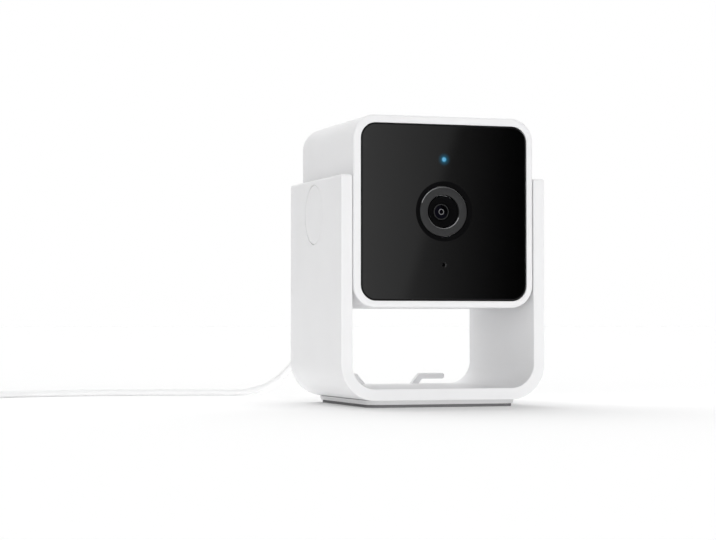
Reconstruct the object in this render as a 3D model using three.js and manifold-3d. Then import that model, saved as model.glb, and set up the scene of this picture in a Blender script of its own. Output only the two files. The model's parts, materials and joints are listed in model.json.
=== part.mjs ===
// Pet camera: a cube-shaped camera head that tilts between the arms of a U-shaped stand.
// Millimetres. +X is right as seen from the front, the lens looks along -Y, +Z is up.
// The origin is on the table, under the middle of the head and stand.

import * as THREE from "three";
import { mergeVertices } from "three/addons/utils/BufferGeometryUtils.js";
import Module from "manifold-3d";

const wasm = await Module();
wasm.setup();

// Shared clearances and wall overrun
const SEAT_GAP = 0.3; // between two pieces that rest on each other
const HAIR_GAP = 0.15; // visible joint line between two fitted pieces
const OVERRUN = 2; // how far a cutting or joining solid runs past its face

// Round shapes
const CORNER_STEPS = 6; // facets in a quarter circle of a moulded corner
const LENS_STEPS = 32; // facets round the lens parts
const ROUND_STEPS = 16; // facets round middle-sized turned parts
const SMALL_STEPS = 10; // facets round screws and posts
const FINE_STEPS = 3; // facets in a quarter circle of a small corner
const DOME_STEPS = 4; // facets from the middle of a dome to its edge
const REAR_STEPS = 5; // facets across the large rear rounding
const HEXAGON = 6;

// Head: the cube housing
const HEAD_SIZE = 53.4; // width, depth and height of the cube
const HEAD_CORNER = 6.5; // corner radius seen from the front
const HEAD_WALL = 1.8; // side walls
const HEAD_FRONT_EDGE = 0.9; // rounding of the bezel's front edge
const HEAD_REAR_EDGE = 6; // rounding of the rear edges
const BEZEL_WIDTH = 2.2; // white rim round the front panel
const FRONT_WALL = 1.8; // wall that the front panel is bonded to

// Stand: a U of two arms and a base
const ARM_THICKNESS = 3.2;
const ARM_GAP = 0.3; // between the head and each arm
const STAND_DEPTH = 50;
const BASE_THICKNESS = 3;
const STAND_CORNER = 10; // outer radius where an arm meets the base
const ARM_TOP_EDGE = 0.5; // chamfer on the arms' tops
const STAND_REAR_EDGE = 1.2; // rounding of the outer rear edges
const PIVOT_HEIGHT = 52.3; // pivot axis over the stand's underside
const PIVOT_FROM_FRONT = 25.7; // pivot axis behind the stand's front edge
const CAP_MARGIN = 1.45; // arm left above the pivot cap

// Cord hooks on the rear edge of the base
const HOOK_HEIGHT = 3.3;
const HOOK_STRIP = 1.4; // thickness of strut and flat
const HOOK_DEPTH = 2.4;
const HOOK_INNER = 7.35; // foot of the strut, from the middle
const HOOK_LEAN = 2.65; // how far the strut leans outwards
const HOOK_REACH = 17.8; // tip of the flat, from the middle
const HOOK_ROUND = 0.5;

// Steel plate and pad under the base
const PLATE_WIDTH = 41.5;
const PLATE_DEPTH = 49;
const PLATE_THICKNESS = 0.95;
const PLATE_CORNER = 3;
const PLATE_SLANT = 0.7; // how far the edge slants inwards to the bottom
const PAD_INSET = 0.25; // pad edge inside the plate's lower edge
const PAD_THICKNESS = 0.8;
const PLATE_SCREW_INSET_X = 6.75; // screw centre inside the plate's side edge
const PLATE_SCREW_INSET_Y = 7.5; // screw centre inside its front or rear edge
const PLATE_SCREW_HEAD_R = 1.7;
const PLATE_SCREW_HEAD = 0.4;
const PLATE_SCREW_RIM = 0.1; // straight rim under the cone
const PLATE_SCREW_R = 0.8;
const PLATE_SCREW_LENGTH = 2.2; // below the head
const PLATE_SCREW_PLAY = 0.15;

// Pivot: cap, shoulder screw, washer and insert, the same on both sides
const CAP_R = 8.5;
const CAP_THICKNESS = 0.85;
const PIVOT_SCREW_HEAD_R = 2.9;
const PIVOT_SCREW_HEAD = 0.6;
const PIVOT_SCREW_R = 1.5;
const PIVOT_SCREW_REACH = 5.4; // shank inside the head
const PIVOT_PLAY = 0.2;
const DRIVE_R = 1.1; // hexagon socket in the screw head
const DRIVE_DEPTH = 0.35;
const WASHER_R = 5.1;
const WASHER_THICKNESS = 0.5;
const WASHER_RECESS = 0.5; // depth of its seat in the arm
const INSERT_R = 2.4;
const INSERT_LENGTH = 4.6;
const BOSS_R = 4.4;
const BOSS_LENGTH = 5.4; // inwards from the side wall

// Front panel
const PANEL_THICKNESS = 1.5;
const PANEL_CORNER = 4.3;
const PANEL_EDGE = 0.4; // chamfer
const PANEL_RECESS = 0.2; // face behind the bezel's front
const GASKET_THICKNESS = 0.5;
const GASKET_WIDTH = 2.4;
const HALO_R = 8.25; // outer edge of the chamfer round the lens opening
const HALO_DEPTH = 0.6;
const LENS_OPENING_R = 7.15;
const LIGHT_R = 0.75;
const LIGHT_ABOVE_LENS = 14.65;
const MIC_BELOW_LENS = 14.8;
const MIC_HOLE_R = 0.6;

// Lens
const RING_R = 7;
const RING_BORE_R = 4.5;
const RING_THICKNESS = 1.45;
const RING_RECESS = 0.6; // ring face behind the panel's face
const RING_EDGE = 0.2; // chamfer of its outer and inner edge
const BARREL_FRONT_R = 4.35;
const BARREL_RECESS = 0.3; // barrel lip behind the ring's face
const BARREL_LIP = 0.25; // width of the lip
const CONE_DEPTH = 1.5;
const CONE_R = 2.45; // small end of the cone
const BARREL_R = 6;
const BARREL_NECK = 4.3; // front tube, lip to flange
const BARREL_LENGTH = 8.1; // flange to rear end
const BARREL_BORE_R = 4;
const BARREL_SEAT = 0.9; // bore of cone radius behind the cone
const GLASS_R = 2.3;
const GLASS_DOME = 0.55;
const GLASS_THICKNESS = 0.5;

// Lens holder, filter and sensor
const HOLDER_SIZE = 16;
const HOLDER_LENGTH = 10.6;
const BARREL_PLAY = 0.15;
const FILTER_FRAME_X = 12;
const FILTER_FRAME_Z = 8.4;
const FILTER_FRAME_Y = 1.4;
const FILTER_TRAVEL = 5.5;
const FILTER_WINDOW_X = 4.4;
const FILTER_WINDOW_Z = 5.6;
const FILTER_GLASS = 0.4;
const SLOT_PLAY = 0.3;
const LIGHT_PATH_R = 3.2;
const SENSOR_SIZE = 7.6;
const SENSOR_THICKNESS = 1.1;
const SENSOR_BOARD = 27;
const BOARD_THICKNESS = 1;
const SENSOR_POST_INSET = 2.5; // post centre inside the board's edge
const POST_R = 2;
const BOARD_SCREW_R = 0.8;
const BOARD_SCREW_HEAD_R = 1.6;
const BOARD_SCREW_HEAD = 1;
const BOARD_SCREW_LENGTH = 4;
const SCREW_PLAY = 0.15;

// Front board with its lights and microphone
const FRONT_BOARD_X = 34;
const FRONT_BOARD_Z = 35;
const FRONT_BOARD_THICKNESS = 0.8;
const IR_LED_X = 12.5;
const IR_LED_R = 1.5;
const IR_LED_LENGTH = 1.6;
const IR_LED_DOME = 0.75;
const STATUS_LED_X = 1.6;
const STATUS_LED_Y = 0.5;
const PIPE_FLANGE_R = 1.1;
const PIPE_FLANGE = 0.6;
const MIC_SIZE = 2.4;
const MIC_THICKNESS = 0.7;
const BOOT_R = 1.8;
const BOOT_BORE_R = 0.5;
const BOOT_THICKNESS = 0.6;

// Rear cover
const COVER_HALF = 20.5; // half its width and height
const COVER_CORNER = 4;
const COVER_WALL = 1.8;
const GRILLE_ABOVE = 6.5; // grille and speaker centre over the head's middle
const GRILLE_HOLE_R = 0.6;
const GRILLE_PITCH = 2.4;
const GRILLE_RINGS = 3;
const GRILLE_HOLE_STEPS = 6;
const PORT_BELOW = 15; // port and button centre below the head's middle
const PORT_RECESS_X = 12.4;
const PORT_RECESS_Z = 8.4;
const PORT_RECESS_DEPTH = 0.9;
const PORT_RECESS_CORNER = 1.6;
const PORT_SLOT_X = 8.4;
const PORT_SLOT_Z = 3.4;
const SNAP_WIDTH = 6;
const SNAP_THICKNESS = 1.2;
const SNAP_LENGTH = 4;
const SNAP_BARB = 0.9;
const SNAP_BARB_LENGTH = 1.6;
const SNAP_OFFSET = 12; // snap arms left and right of the middle line

// Main board and what it carries
const MAIN_BOARD_X = 38;
const MAIN_BOARD_Z = 40;
const MAIN_BOARD_THICKNESS = 1.2;
const MAIN_BOARD_BEHIND = 8.7; // board's rear face in front of the cover's inner face
const MAIN_POST_INSET_X = 2.5; // post centre inside the board's side edge
const MAIN_POST_INSET_Z = 3; // post centre inside its upper or lower edge
const SHIELD_X = 20;
const SHIELD_Z = 18;
const SHIELD_Y = 2.2;
const SHIELD_UP = 4;
const SINK_X = 18;
const SINK_Z = 16;
const SINK_BASE = 1.2;
const SINK_FIN = 2.6;
const SINK_FIN_THICKNESS = 1;
const SINK_FINS = 5;
const ANTENNA_X = 26;
const ANTENNA_Y = 8;
const ANTENNA_THICKNESS = 0.4;
const ANTENNA_BACK = 4; // its middle behind the head's middle
const RIBBON_WIDTH = 8;
const RIBBON_THICKNESS = 0.4;
const RIBBON_FROM_EDGE = 4.5; // its end over the sensor board's lower edge
const RIBBON_DROP = 5; // how far its bow hangs down
const RIBBON_STEPS = 12;

// Speaker behind the grille
const SPEAKER_R = 12;
const SPEAKER_RIM = 1.4;
const SPEAKER_DEPTH = 4.6;
const SPEAKER_WALL = 0.8;
const SPEAKER_BACK_R = 7.5;
const MAGNET_R = 5.6;
const MAGNET_LENGTH = 2.8;
const CONE_RIM = 0.6;
const CONE_SINK = 1.6;
const SPEAKER_GASKET = 0.5;

// Socket, switch and setup button
const SOCKET_X = 7.9;
const SOCKET_Z = 3.1;
const SOCKET_LENGTH = 7.6;
const SOCKET_WALL = 0.35;
const SWITCH_SIZE = 4.5;
const SWITCH_BODY = 2;
const SWITCH_STEM_R = 1;
const SWITCH_STEM = 0.8;
const BUTTON_X = 11;
const BUTTON_R = 2.4;
const BUTTON_FLANGE_R = 2.9;
const BUTTON_FLANGE = 0.9;
const BUTTON_SUNK = 0.25; // face behind the cover's face
const BUTTON_TRAVEL = 0.5;
const BUTTON_STOP_GAP = 0.1; // left over the switch at full travel
const BUTTON_PLAY = 0.15;

// Micro-USB plug
const PLUG_SHELL_X = 6.85;
const PLUG_SHELL_Z = 1.85;
const PLUG_SHELL_LENGTH = 6;
const PLUG_X = 10.8;
const PLUG_Z = 6.8;
const PLUG_LENGTH = 15;
const PLUG_CORNER = 1.4;
const PLUG_TAPER = 0.8; // each side, over the rear third
const PLUG_TAPER_SHARE = 0.35; // of the plug's length
const RELIEF_LENGTH = 9;
const RELIEF_R = 2.3;
const RELIEF_END_R = 1.65;
const RELIEF_RIBS = 4;
const RELIEF_GROOVE = 0.35;

// Cord, its coil and its far plug
const CORD_R = 1.1;
const CORD_SIDES = 8;
const CORD_STEP = 5.5;
const COIL_X = -137; // middle of the coil
const COIL_Y = 57.8;
const COIL_SIDES = 6;
const COIL_TURN_STEPS = 24;
const COIL_LAYERS = 4;
const COIL_TURNS = 5.25; // in each layer
const COIL_PITCH = 2.7; // between neighbouring turns and layers
const COIL_INNER_R = 6.14; // innermost centreline
const COIL_LEAD = 2.4; // straight run at each end of the coil
const COIL_TAIL_STEPS = 7;
const TIE_WIDTH = 3;
const TIE_THICKNESS = 0.45;
const TIE_CORNER = 1.2;
const USB_X = 14;
const USB_Z = 7;
const USB_LENGTH = 20;
const USB_CORNER = 1.2;
const USB_TAPER = 1.5;
const USB_TAPER_SHARE = 0.3; // of the plug's length
const USB_SHELL_X = 12;
const USB_SHELL_Z = 4.5;
const USB_SHELL_LENGTH = 18.7;
const USB_SHELL_WALL = 0.4;

// Derived places
const HALF = HEAD_SIZE / 2;
const STAND_WIDTH = HEAD_SIZE + 2 * (ARM_GAP + ARM_THICKNESS);
const ARM_OUT = STAND_WIDTH / 2;
const ARM_IN = ARM_OUT - ARM_THICKNESS;
const PLATE_BOTTOM = PAD_THICKNESS + HAIR_GAP;
const PLATE_TOP = PLATE_BOTTOM + PLATE_THICKNESS;
const STAND_BOTTOM = PLATE_TOP + HAIR_GAP;
const BASE_TOP = STAND_BOTTOM + BASE_THICKNESS;
const ARM_TOP = STAND_BOTTOM + PIVOT_HEIGHT + CAP_R + CAP_MARGIN;
const FRONT_Y = -HALF;
const STAND_REAR = FRONT_Y + STAND_DEPTH;
const STAND_MIDDLE = FRONT_Y + STAND_DEPTH / 2;
const PIVOT_Y = FRONT_Y + PIVOT_FROM_FRONT;
const PIVOT_Z = STAND_BOTTOM + PIVOT_HEIGHT;
const LENS_Z = PIVOT_Z;
const REAR_Y = HALF;
const PANEL_FRONT = FRONT_Y + PANEL_RECESS;
const PANEL_BACK = PANEL_FRONT + PANEL_THICKNESS;
const WALL_FRONT = PANEL_BACK + GASKET_THICKNESS + 2 * HAIR_GAP;
const WALL_BACK = WALL_FRONT + FRONT_WALL;
const COVER_INNER = REAR_Y - COVER_WALL;
const PORT_Z = LENS_Z - PORT_BELOW;
const GRILLE_Z = LENS_Z + GRILLE_ABOVE;

// Materials
const finish = (color, roughness, metalness) => new THREE.MeshStandardMaterial({ color, roughness, metalness });
const white = finish(0xf2f2f3, 0.42, 0);
const whiteSoft = finish(0xeeeeee, 0.5, 0);
const glossBlack = finish(0x08090a, 0.08, 0);
const ringGrey = finish(0x3a3c3f, 0.4, 0.2);
const matteBlack = finish(0x0c0c0d, 0.6, 0);
const glass = finish(0x1a2030, 0.05, 0);
const steel = finish(0xc9cacc, 0.3, 1);
const brass = finish(0xb5975a, 0.35, 1);
const rubber = finish(0x2c2c2e, 0.85, 0);
const boardGreen = finish(0x1f5c3a, 0.5, 0);
const chipBlack = finish(0x16171a, 0.5, 0);
const copper = finish(0xb87a4a, 0.4, 0.8);
const blueLight = finish(0x1e9be8, 0.2, 0);
const amber = finish(0xa8642a, 0.4, 0);

// Solids

/** Turns a closed three.js geometry into a solid, with its faces pointing out. */
function solidFrom(geometry) {
  const bare = geometry.clone();
  bare.deleteAttribute("normal");
  bare.deleteAttribute("uv");
  const merged = mergeVertices(bare, 1e-5);
  const points = merged.attributes.position;
  const index = Uint32Array.from(merged.index.array);
  if (signedVolume(points, index) < 0) {
    for (let i = 0; i < index.length; i += 3) {
      [index[i + 1], index[i + 2]] = [index[i + 2], index[i + 1]];
    }
  }
  const vertProperties = Float32Array.from(points.array);
  return new wasm.Manifold(new wasm.Mesh({ numProp: 3, vertProperties, triVerts: index }));
}

/** Volume inside a triangle mesh, negative when its faces point in. */
function signedVolume(points, index) {
  const corner = [new THREE.Vector3(), new THREE.Vector3(), new THREE.Vector3()];
  let volume = 0;
  for (let i = 0; i < index.length; i += 3) {
    corner.forEach((point, k) => point.fromBufferAttribute(points, index[i + k]));
    volume += corner[0].dot(corner[1].cross(corner[2]));
  }
  return volume;
}

/** A box between two corners. */
function box(x0, x1, y0, y1, z0, z1) {
  const geometry = new THREE.BoxGeometry(x1 - x0, y1 - y0, z1 - z0);
  geometry.translate((x0 + x1) / 2, (y0 + y1) / 2, (z0 + z1) / 2);
  return solidFrom(geometry);
}

/** A box centred on x and z that runs from y0 to y1. */
function block(x, z, width, height, y0, y1) {
  return box(x - width / 2, x + width / 2, y0, y1, z - height / 2, z + height / 2);
}

/** A solid of revolution about the line along Y through (x, z); the profile lists [radius, y]. */
function turned(profile, x, z, steps) {
  const outline = profile.map(([radius, y]) => new THREE.Vector2(radius, y));
  outline.push(outline[0].clone());
  const geometry = new THREE.LatheGeometry(outline, steps);
  geometry.translate(x, 0, z);
  return solidFrom(geometry);
}

/** A plain round bar along Y. */
function bar(radius, x, z, y0, y1, steps) {
  return turned([[0, y0], [radius, y0], [radius, y1], [0, y1]], x, z, steps);
}

/** A solid of revolution about the pivot axis; the profile lists [radius, distance from the middle]. */
function turnedOnPivot(profile, side, steps) {
  const outline = profile.map(([radius, distance]) => new THREE.Vector2(radius, distance));
  outline.push(outline[0].clone());
  const geometry = new THREE.LatheGeometry(outline, steps);
  geometry.rotateZ(-side * Math.PI / 2);
  geometry.translate(0, PIVOT_Y, PIVOT_Z);
  return solidFrom(geometry);
}

/** A solid of revolution about a vertical line; the profile lists [radius, z]. */
function turnedUpright(profile, x, y, steps) {
  const outline = profile.map(([radius, z]) => new THREE.Vector2(radius, z));
  outline.push(outline[0].clone());
  const geometry = new THREE.LatheGeometry(outline, steps);
  geometry.rotateX(Math.PI / 2);
  geometry.translate(x, y, 0);
  return solidFrom(geometry);
}

/** Points of a rectangle with round corners, centred on zero, anticlockwise. */
function roundedRectangle(halfWidth, halfHeight, radius, steps = CORNER_STEPS) {
  const corners = [[1, 1], [-1, 1], [-1, -1], [1, -1]];
  return corners.flatMap(([sx, sy], quarter) => arc(
    sx * (halfWidth - radius), sy * (halfHeight - radius), radius, quarter * Math.PI / 2, Math.PI / 2, steps));
}

/** Points along an arc, both ends included. */
function arc(x, y, radius, start, sweep, steps) {
  return Array.from({ length: steps + 1 }, (_, i) => {
    const angle = start + sweep * i / steps;
    return [x + radius * Math.cos(angle), y + radius * Math.sin(angle)];
  });
}

/** Skins matching rings of 3-D points and closes both ends; flat gives each ring's points in its own plane. */
function loft(rings, flat) {
  const count = rings[0].length;
  const positions = rings.flat(2);
  const index = [];
  for (let ring = 0; ring + 1 < rings.length; ring += 1) {
    for (let i = 0; i < count; i += 1) {
      const a = ring * count + i;
      const b = ring * count + (i + 1) % count;
      index.push(a, b, b + count, a, b + count, a + count);
    }
  }
  const last = (rings.length - 1) * count;
  rings.slice(-1).concat([rings[0]]).forEach((ring, side) => {
    const outline = ring.map(flat);
    const anticlockwise = THREE.ShapeUtils.area(outline) > 0;
    THREE.ShapeUtils.triangulateShape(outline, []).forEach(([a, b, c]) => {
      const start = side === 0 ? last : 0;
      const face = [start + a, start + b, start + c];
      index.push(...((side === 0) === anticlockwise ? face : face.reverse()));
    });
  });
  const geometry = new THREE.BufferGeometry();
  geometry.setAttribute("position", new THREE.Float32BufferAttribute(positions, 3));
  geometry.setIndex(index);
  return solidFrom(geometry);
}

/** Lofts outlines in XZ along Y; each station is [y, outline]. */
function loftAlongY(stations, x = 0, z = 0) {
  const rings = stations.map(([y, outline]) => outline.map(([u, v]) => [x + u, y, z + v]));
  return loft(rings, ([px, , pz]) => new THREE.Vector2(px, pz));
}

/** Lofts outlines in XY upwards; each station is [z, outline]. */
function loftUp(stations, x = 0, y = 0) {
  const rings = stations.map(([z, outline]) => outline.map(([u, v]) => [x + u, y + v, z]));
  return loft(rings, ([px, py]) => new THREE.Vector2(px, py));
}

/** One outline in XZ carried straight along Y. */
function slab(outline, y0, y1, x = 0, z = 0) {
  return loftAlongY([[y0, outline], [y1, outline]], x, z);
}

const join = (first, ...others) => others.reduce((sum, other) => sum.add(other), first);
const cut = (first, ...others) => others.reduce((rest, other) => rest.subtract(other), first);

/** A named mesh from a solid. */
function piece(name, solid, material) {
  const { vertProperties, triVerts, numProp } = solid.getMesh();
  const positions = new Float32Array(triVerts.length * 3);
  triVerts.forEach((vertex, i) => {
    const start = vertex * numProp;
    positions.set(vertProperties.subarray(start, start + 3), i * 3);
  });
  const geometry = new THREE.BufferGeometry();
  geometry.setAttribute("position", new THREE.BufferAttribute(positions, 3));
  geometry.computeVertexNormals();
  const mesh = new THREE.Mesh(geometry, material);
  mesh.name = name;
  return mesh;
}

const sides = [["left", -1], ["right", 1]];

// Stand

/** Outline of the U in XZ; inset draws the outer faces in. */
function standOutline(inset) {
  const outer = ARM_OUT - inset;
  const bottom = STAND_BOTTOM + inset;
  const top = ARM_TOP - inset;
  const outerRadius = STAND_CORNER - inset;
  const innerRadius = STAND_CORNER - ARM_THICKNESS;
  const right = [
    ...arc(outer - outerRadius, bottom + outerRadius, outerRadius, -Math.PI / 2, Math.PI / 2, CORNER_STEPS),
    [outer, top - ARM_TOP_EDGE],
    [outer - ARM_TOP_EDGE, top],
    [ARM_IN + ARM_TOP_EDGE, top],
    [ARM_IN, top - ARM_TOP_EDGE],
    ...arc(ARM_IN - innerRadius, BASE_TOP + innerRadius, innerRadius, 0, -Math.PI / 2, CORNER_STEPS),
  ];
  const left = right.map(([x, z]) => [-x, z]).reverse();
  return [...right, ...left];
}

/** One cord hook: a strut that leans outwards and a flat that runs on to a round tip. */
function cordHook(side) {
  const top = BASE_TOP + HOOK_HEIGHT;
  const under = top - HOOK_STRIP;
  const slope = HOOK_LEAN / HOOK_HEIGHT;
  const strutWidth = HOOK_STRIP * Math.hypot(1, slope);
  const foot = BASE_TOP - BASE_THICKNESS / 2;
  const sunk = BASE_TOP - foot;
  const outline = [
    [HOOK_INNER - sunk * slope, foot],
    [HOOK_INNER - sunk * slope + strutWidth, foot],
    [HOOK_INNER + strutWidth + (under - BASE_TOP) * slope, under],
    ...arc(HOOK_REACH - HOOK_ROUND, under + HOOK_ROUND, HOOK_ROUND, -Math.PI / 2, Math.PI / 2, FINE_STEPS),
    ...arc(HOOK_REACH - HOOK_ROUND, top - HOOK_ROUND, HOOK_ROUND, 0, Math.PI / 2, FINE_STEPS),
    [HOOK_INNER + HOOK_LEAN, top],
  ];
  const placed = side > 0 ? outline : outline.map(([x, z]) => [-x, z]).reverse();
  return slab(placed, STAND_REAR - HOOK_DEPTH, STAND_REAR);
}

/** Places of the four plate screws. */
const plateScrewPlaces = [[-1, -1], [1, -1], [1, 1], [-1, 1]].map(
  ([sx, sy]) => [
    sx * (PLATE_WIDTH / 2 - PLATE_SCREW_INSET_X),
    STAND_MIDDLE + sy * (PLATE_DEPTH / 2 - PLATE_SCREW_INSET_Y),
  ]);

const CAP_SEAT = ARM_OUT - CAP_THICKNESS - HAIR_GAP;
const SCREW_HEAD_TOP = CAP_SEAT - HAIR_GAP;
const SCREW_HEAD_UNDER = SCREW_HEAD_TOP - PIVOT_SCREW_HEAD;
const SCREW_SEAT = SCREW_HEAD_UNDER - HAIR_GAP;

/** Stepped seats in an arm for the cap, the screw head, the shank and the washer. */
function pivotSeats(side) {
  const seats = [
    [CAP_R + HAIR_GAP, CAP_SEAT, ARM_OUT + OVERRUN, LENS_STEPS],
    [PIVOT_SCREW_HEAD_R + PIVOT_PLAY, SCREW_SEAT, ARM_OUT, ROUND_STEPS],
    [PIVOT_SCREW_R + PIVOT_PLAY, ARM_IN - OVERRUN, ARM_OUT, ROUND_STEPS],
    [WASHER_R + HAIR_GAP, ARM_IN - OVERRUN, ARM_IN + WASHER_RECESS, ROUND_STEPS],
  ];
  return seats.map(([radius, from, to, steps]) => turnedOnPivot(
    [[0, from], [radius, from], [radius, to], [0, to]], side, steps));
}

function standFrame() {
  const rearStart = STAND_REAR - STAND_REAR_EDGE;
  const stations = [[FRONT_Y, standOutline(0)]];
  for (let i = 0; i <= FINE_STEPS; i += 1) {
    const angle = i / FINE_STEPS * Math.PI / 2;
    const inset = STAND_REAR_EDGE * (1 - Math.cos(angle));
    stations.push([rearStart + STAND_REAR_EDGE * Math.sin(angle), standOutline(inset)]);
  }
  const hooks = sides.map(([, side]) => cordHook(side));
  const holeTop = STAND_BOTTOM + PLATE_SCREW_LENGTH;
  const holes = plateScrewPlaces.map(([x, y]) => {
    const radius = PLATE_SCREW_R + PLATE_SCREW_PLAY;
    const bottom = STAND_BOTTOM - OVERRUN;
    return turnedUpright([[0, bottom], [radius, bottom], [radius, holeTop], [0, holeTop]], x, y, SMALL_STEPS);
  });
  const seats = sides.flatMap(([, side]) => pivotSeats(side));
  return cut(join(loftAlongY(stations), ...hooks), ...holes, ...seats);
}

const PLATE_SCREW_BOTTOM = PLATE_BOTTOM + PLATE_SCREW_RIM;

/** Profile of a countersunk plate screw, or of its seat when grown by a clearance. */
function plateScrewProfile(play, low, top) {
  return [
    [0, low],
    [PLATE_SCREW_HEAD_R + play, low],
    [PLATE_SCREW_HEAD_R + play, PLATE_SCREW_BOTTOM],
    [PLATE_SCREW_R + play, PLATE_SCREW_BOTTOM + PLATE_SCREW_HEAD],
    [PLATE_SCREW_R + play, top],
    [0, top],
  ];
}

/** Outline of the steel plate, drawn in by an inset. */
const plateOutline = (inset) => roundedRectangle(
  PLATE_WIDTH / 2 - inset, PLATE_DEPTH / 2 - inset, PLATE_CORNER - inset);

function basePlate() {
  const blank = loftUp(
    [[PLATE_BOTTOM, plateOutline(PLATE_SLANT)], [PLATE_TOP, plateOutline(0)]], 0, STAND_MIDDLE);
  const seats = plateScrewPlaces.map(([x, y]) => turnedUpright(
    plateScrewProfile(PLATE_SCREW_PLAY, PLATE_BOTTOM, PLATE_TOP + OVERRUN), x, y, SMALL_STEPS));
  return cut(blank, ...seats);
}

function basePad() {
  const outline = plateOutline(PLATE_SLANT + PAD_INSET);
  return loftUp([[0, outline], [PAD_THICKNESS, outline]], 0, STAND_MIDDLE);
}

function plateScrew([x, y]) {
  const top = PLATE_TOP + PLATE_SCREW_LENGTH - 2 * HAIR_GAP;
  const profile = plateScrewProfile(0, PLATE_SCREW_BOTTOM - PLATE_SCREW_RIM, top);
  return turnedUpright(profile, x, y, SMALL_STEPS);
}

/** Cap flush with the arm's outer face, with a shallow chamfer at its rim. */
function pivotCap(side) {
  const inner = CAP_SEAT + HAIR_GAP;
  const chamfer = HAIR_GAP;
  return turnedOnPivot(
    [[0, inner], [CAP_R, inner], [CAP_R, ARM_OUT - chamfer], [CAP_R - chamfer, ARM_OUT], [0, ARM_OUT]],
    side, LENS_STEPS);
}

/** Shoulder screw with a hexagon socket; it turns with the head. */
function pivotScrew(side) {
  const tip = HALF - PIVOT_SCREW_REACH;
  const body = turnedOnPivot([
    [0, tip],
    [PIVOT_SCREW_R, tip],
    [PIVOT_SCREW_R, SCREW_HEAD_UNDER],
    [PIVOT_SCREW_HEAD_R, SCREW_HEAD_UNDER],
    [PIVOT_SCREW_HEAD_R, SCREW_HEAD_TOP],
    [0, SCREW_HEAD_TOP],
  ], side, ROUND_STEPS);
  const floor = SCREW_HEAD_TOP - DRIVE_DEPTH;
  const roof = SCREW_HEAD_TOP + OVERRUN;
  const drive = turnedOnPivot([[0, floor], [DRIVE_R, floor], [DRIVE_R, roof], [0, roof]], side, HEXAGON);
  return cut(body, drive);
}

/** Friction washer, between the arm and the head's side. */
function frictionWasher(side) {
  const outer = ARM_IN + WASHER_RECESS - HAIR_GAP;
  const inner = outer - WASHER_THICKNESS;
  const bore = PIVOT_SCREW_R + PIVOT_PLAY;
  return turnedOnPivot([[bore, inner], [WASHER_R, inner], [WASHER_R, outer], [bore, outer]], side, ROUND_STEPS);
}

/** Brass insert in the head's side boss. */
function pivotInsert(side) {
  const outer = HALF - HEAD_WALL - SEAT_GAP;
  const inner = outer - INSERT_LENGTH;
  const bore = PIVOT_SCREW_R + PIVOT_PLAY;
  return turnedOnPivot([[bore, inner], [INSERT_R, inner], [INSERT_R, outer], [bore, outer]], side, ROUND_STEPS);
}

// Head housing

/** Square outline with round corners, drawn in by an inset. */
function headOutline(half, radius, inset) {
  return roundedRectangle(half - inset, half - inset, Math.max(radius - inset, HAIR_GAP));
}

/** Stations of a rounding that draws an outline in towards the rear. */
function rearRounding(half, radius, edge, end) {
  return Array.from({ length: REAR_STEPS }, (_, i) => {
    const angle = (i + 1) / REAR_STEPS * Math.PI / 2;
    return [end - edge + edge * Math.sin(angle), headOutline(half, radius, edge * (1 - Math.cos(angle)))];
  });
}

/** Outer body of the head: front edge rounding, straight sides and large rear rounding. */
function headBlank() {
  const front = Array.from({ length: FINE_STEPS + 1 }, (_, i) => {
    const angle = i / FINE_STEPS * Math.PI / 2;
    const inset = HEAD_FRONT_EDGE * (1 - Math.sin(angle));
    return [FRONT_Y + HEAD_FRONT_EDGE * (1 - Math.cos(angle)), headOutline(HALF, HEAD_CORNER, inset)];
  });
  const straightEnd = [REAR_Y - HEAD_REAR_EDGE, headOutline(HALF, HEAD_CORNER, 0)];
  const rear = rearRounding(HALF, HEAD_CORNER, HEAD_REAR_EDGE, REAR_Y);
  return loftAlongY([...front, straightEnd, ...rear], 0, LENS_Z);
}

/** Inside of the housing behind its front wall. */
function headCavity() {
  const half = HALF - HEAD_WALL;
  const radius = HEAD_CORNER - HEAD_WALL;
  const edge = HEAD_REAR_EDGE - HEAD_WALL;
  const end = REAR_Y - HEAD_WALL;
  const stations = [
    [WALL_BACK, headOutline(half, radius, 0)],
    [end - edge, headOutline(half, radius, 0)],
    ...rearRounding(half, radius, edge, end),
  ];
  return loftAlongY(stations, 0, LENS_Z);
}

/** Sensor board post places, on one diagonal. */
const SENSOR_POST = SENSOR_BOARD / 2 - SENSOR_POST_INSET;
const sensorPostPlaces = [[-SENSOR_POST, LENS_Z + SENSOR_POST], [SENSOR_POST, LENS_Z - SENSOR_POST]];
const BARREL_LIP_Y = PANEL_FRONT + RING_RECESS + BARREL_RECESS;
const FLANGE_Y = BARREL_LIP_Y + BARREL_NECK;
const BARREL_END = FLANGE_Y + BARREL_LENGTH;
const HOLDER_FRONT = FLANGE_Y + 3 * SEAT_GAP;
const HOLDER_BACK = HOLDER_FRONT + HOLDER_LENGTH;
const SENSOR_BOARD_Y = HOLDER_BACK + SEAT_GAP;
const SENSOR_POST_END = SENSOR_BOARD_Y - SEAT_GAP;
const MIC_POCKET_R = Math.max(BOOT_R, MIC_SIZE * Math.SQRT1_2) + HAIR_GAP;

/** Boss on a side wall for the pivot insert. */
function pivotBoss(side) {
  const root = HALF - HEAD_WALL / 2;
  const tip = HALF - HEAD_WALL - BOSS_LENGTH;
  return turnedOnPivot([[0, tip], [BOSS_R, tip], [BOSS_R, root], [0, root]], side, ROUND_STEPS);
}

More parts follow.
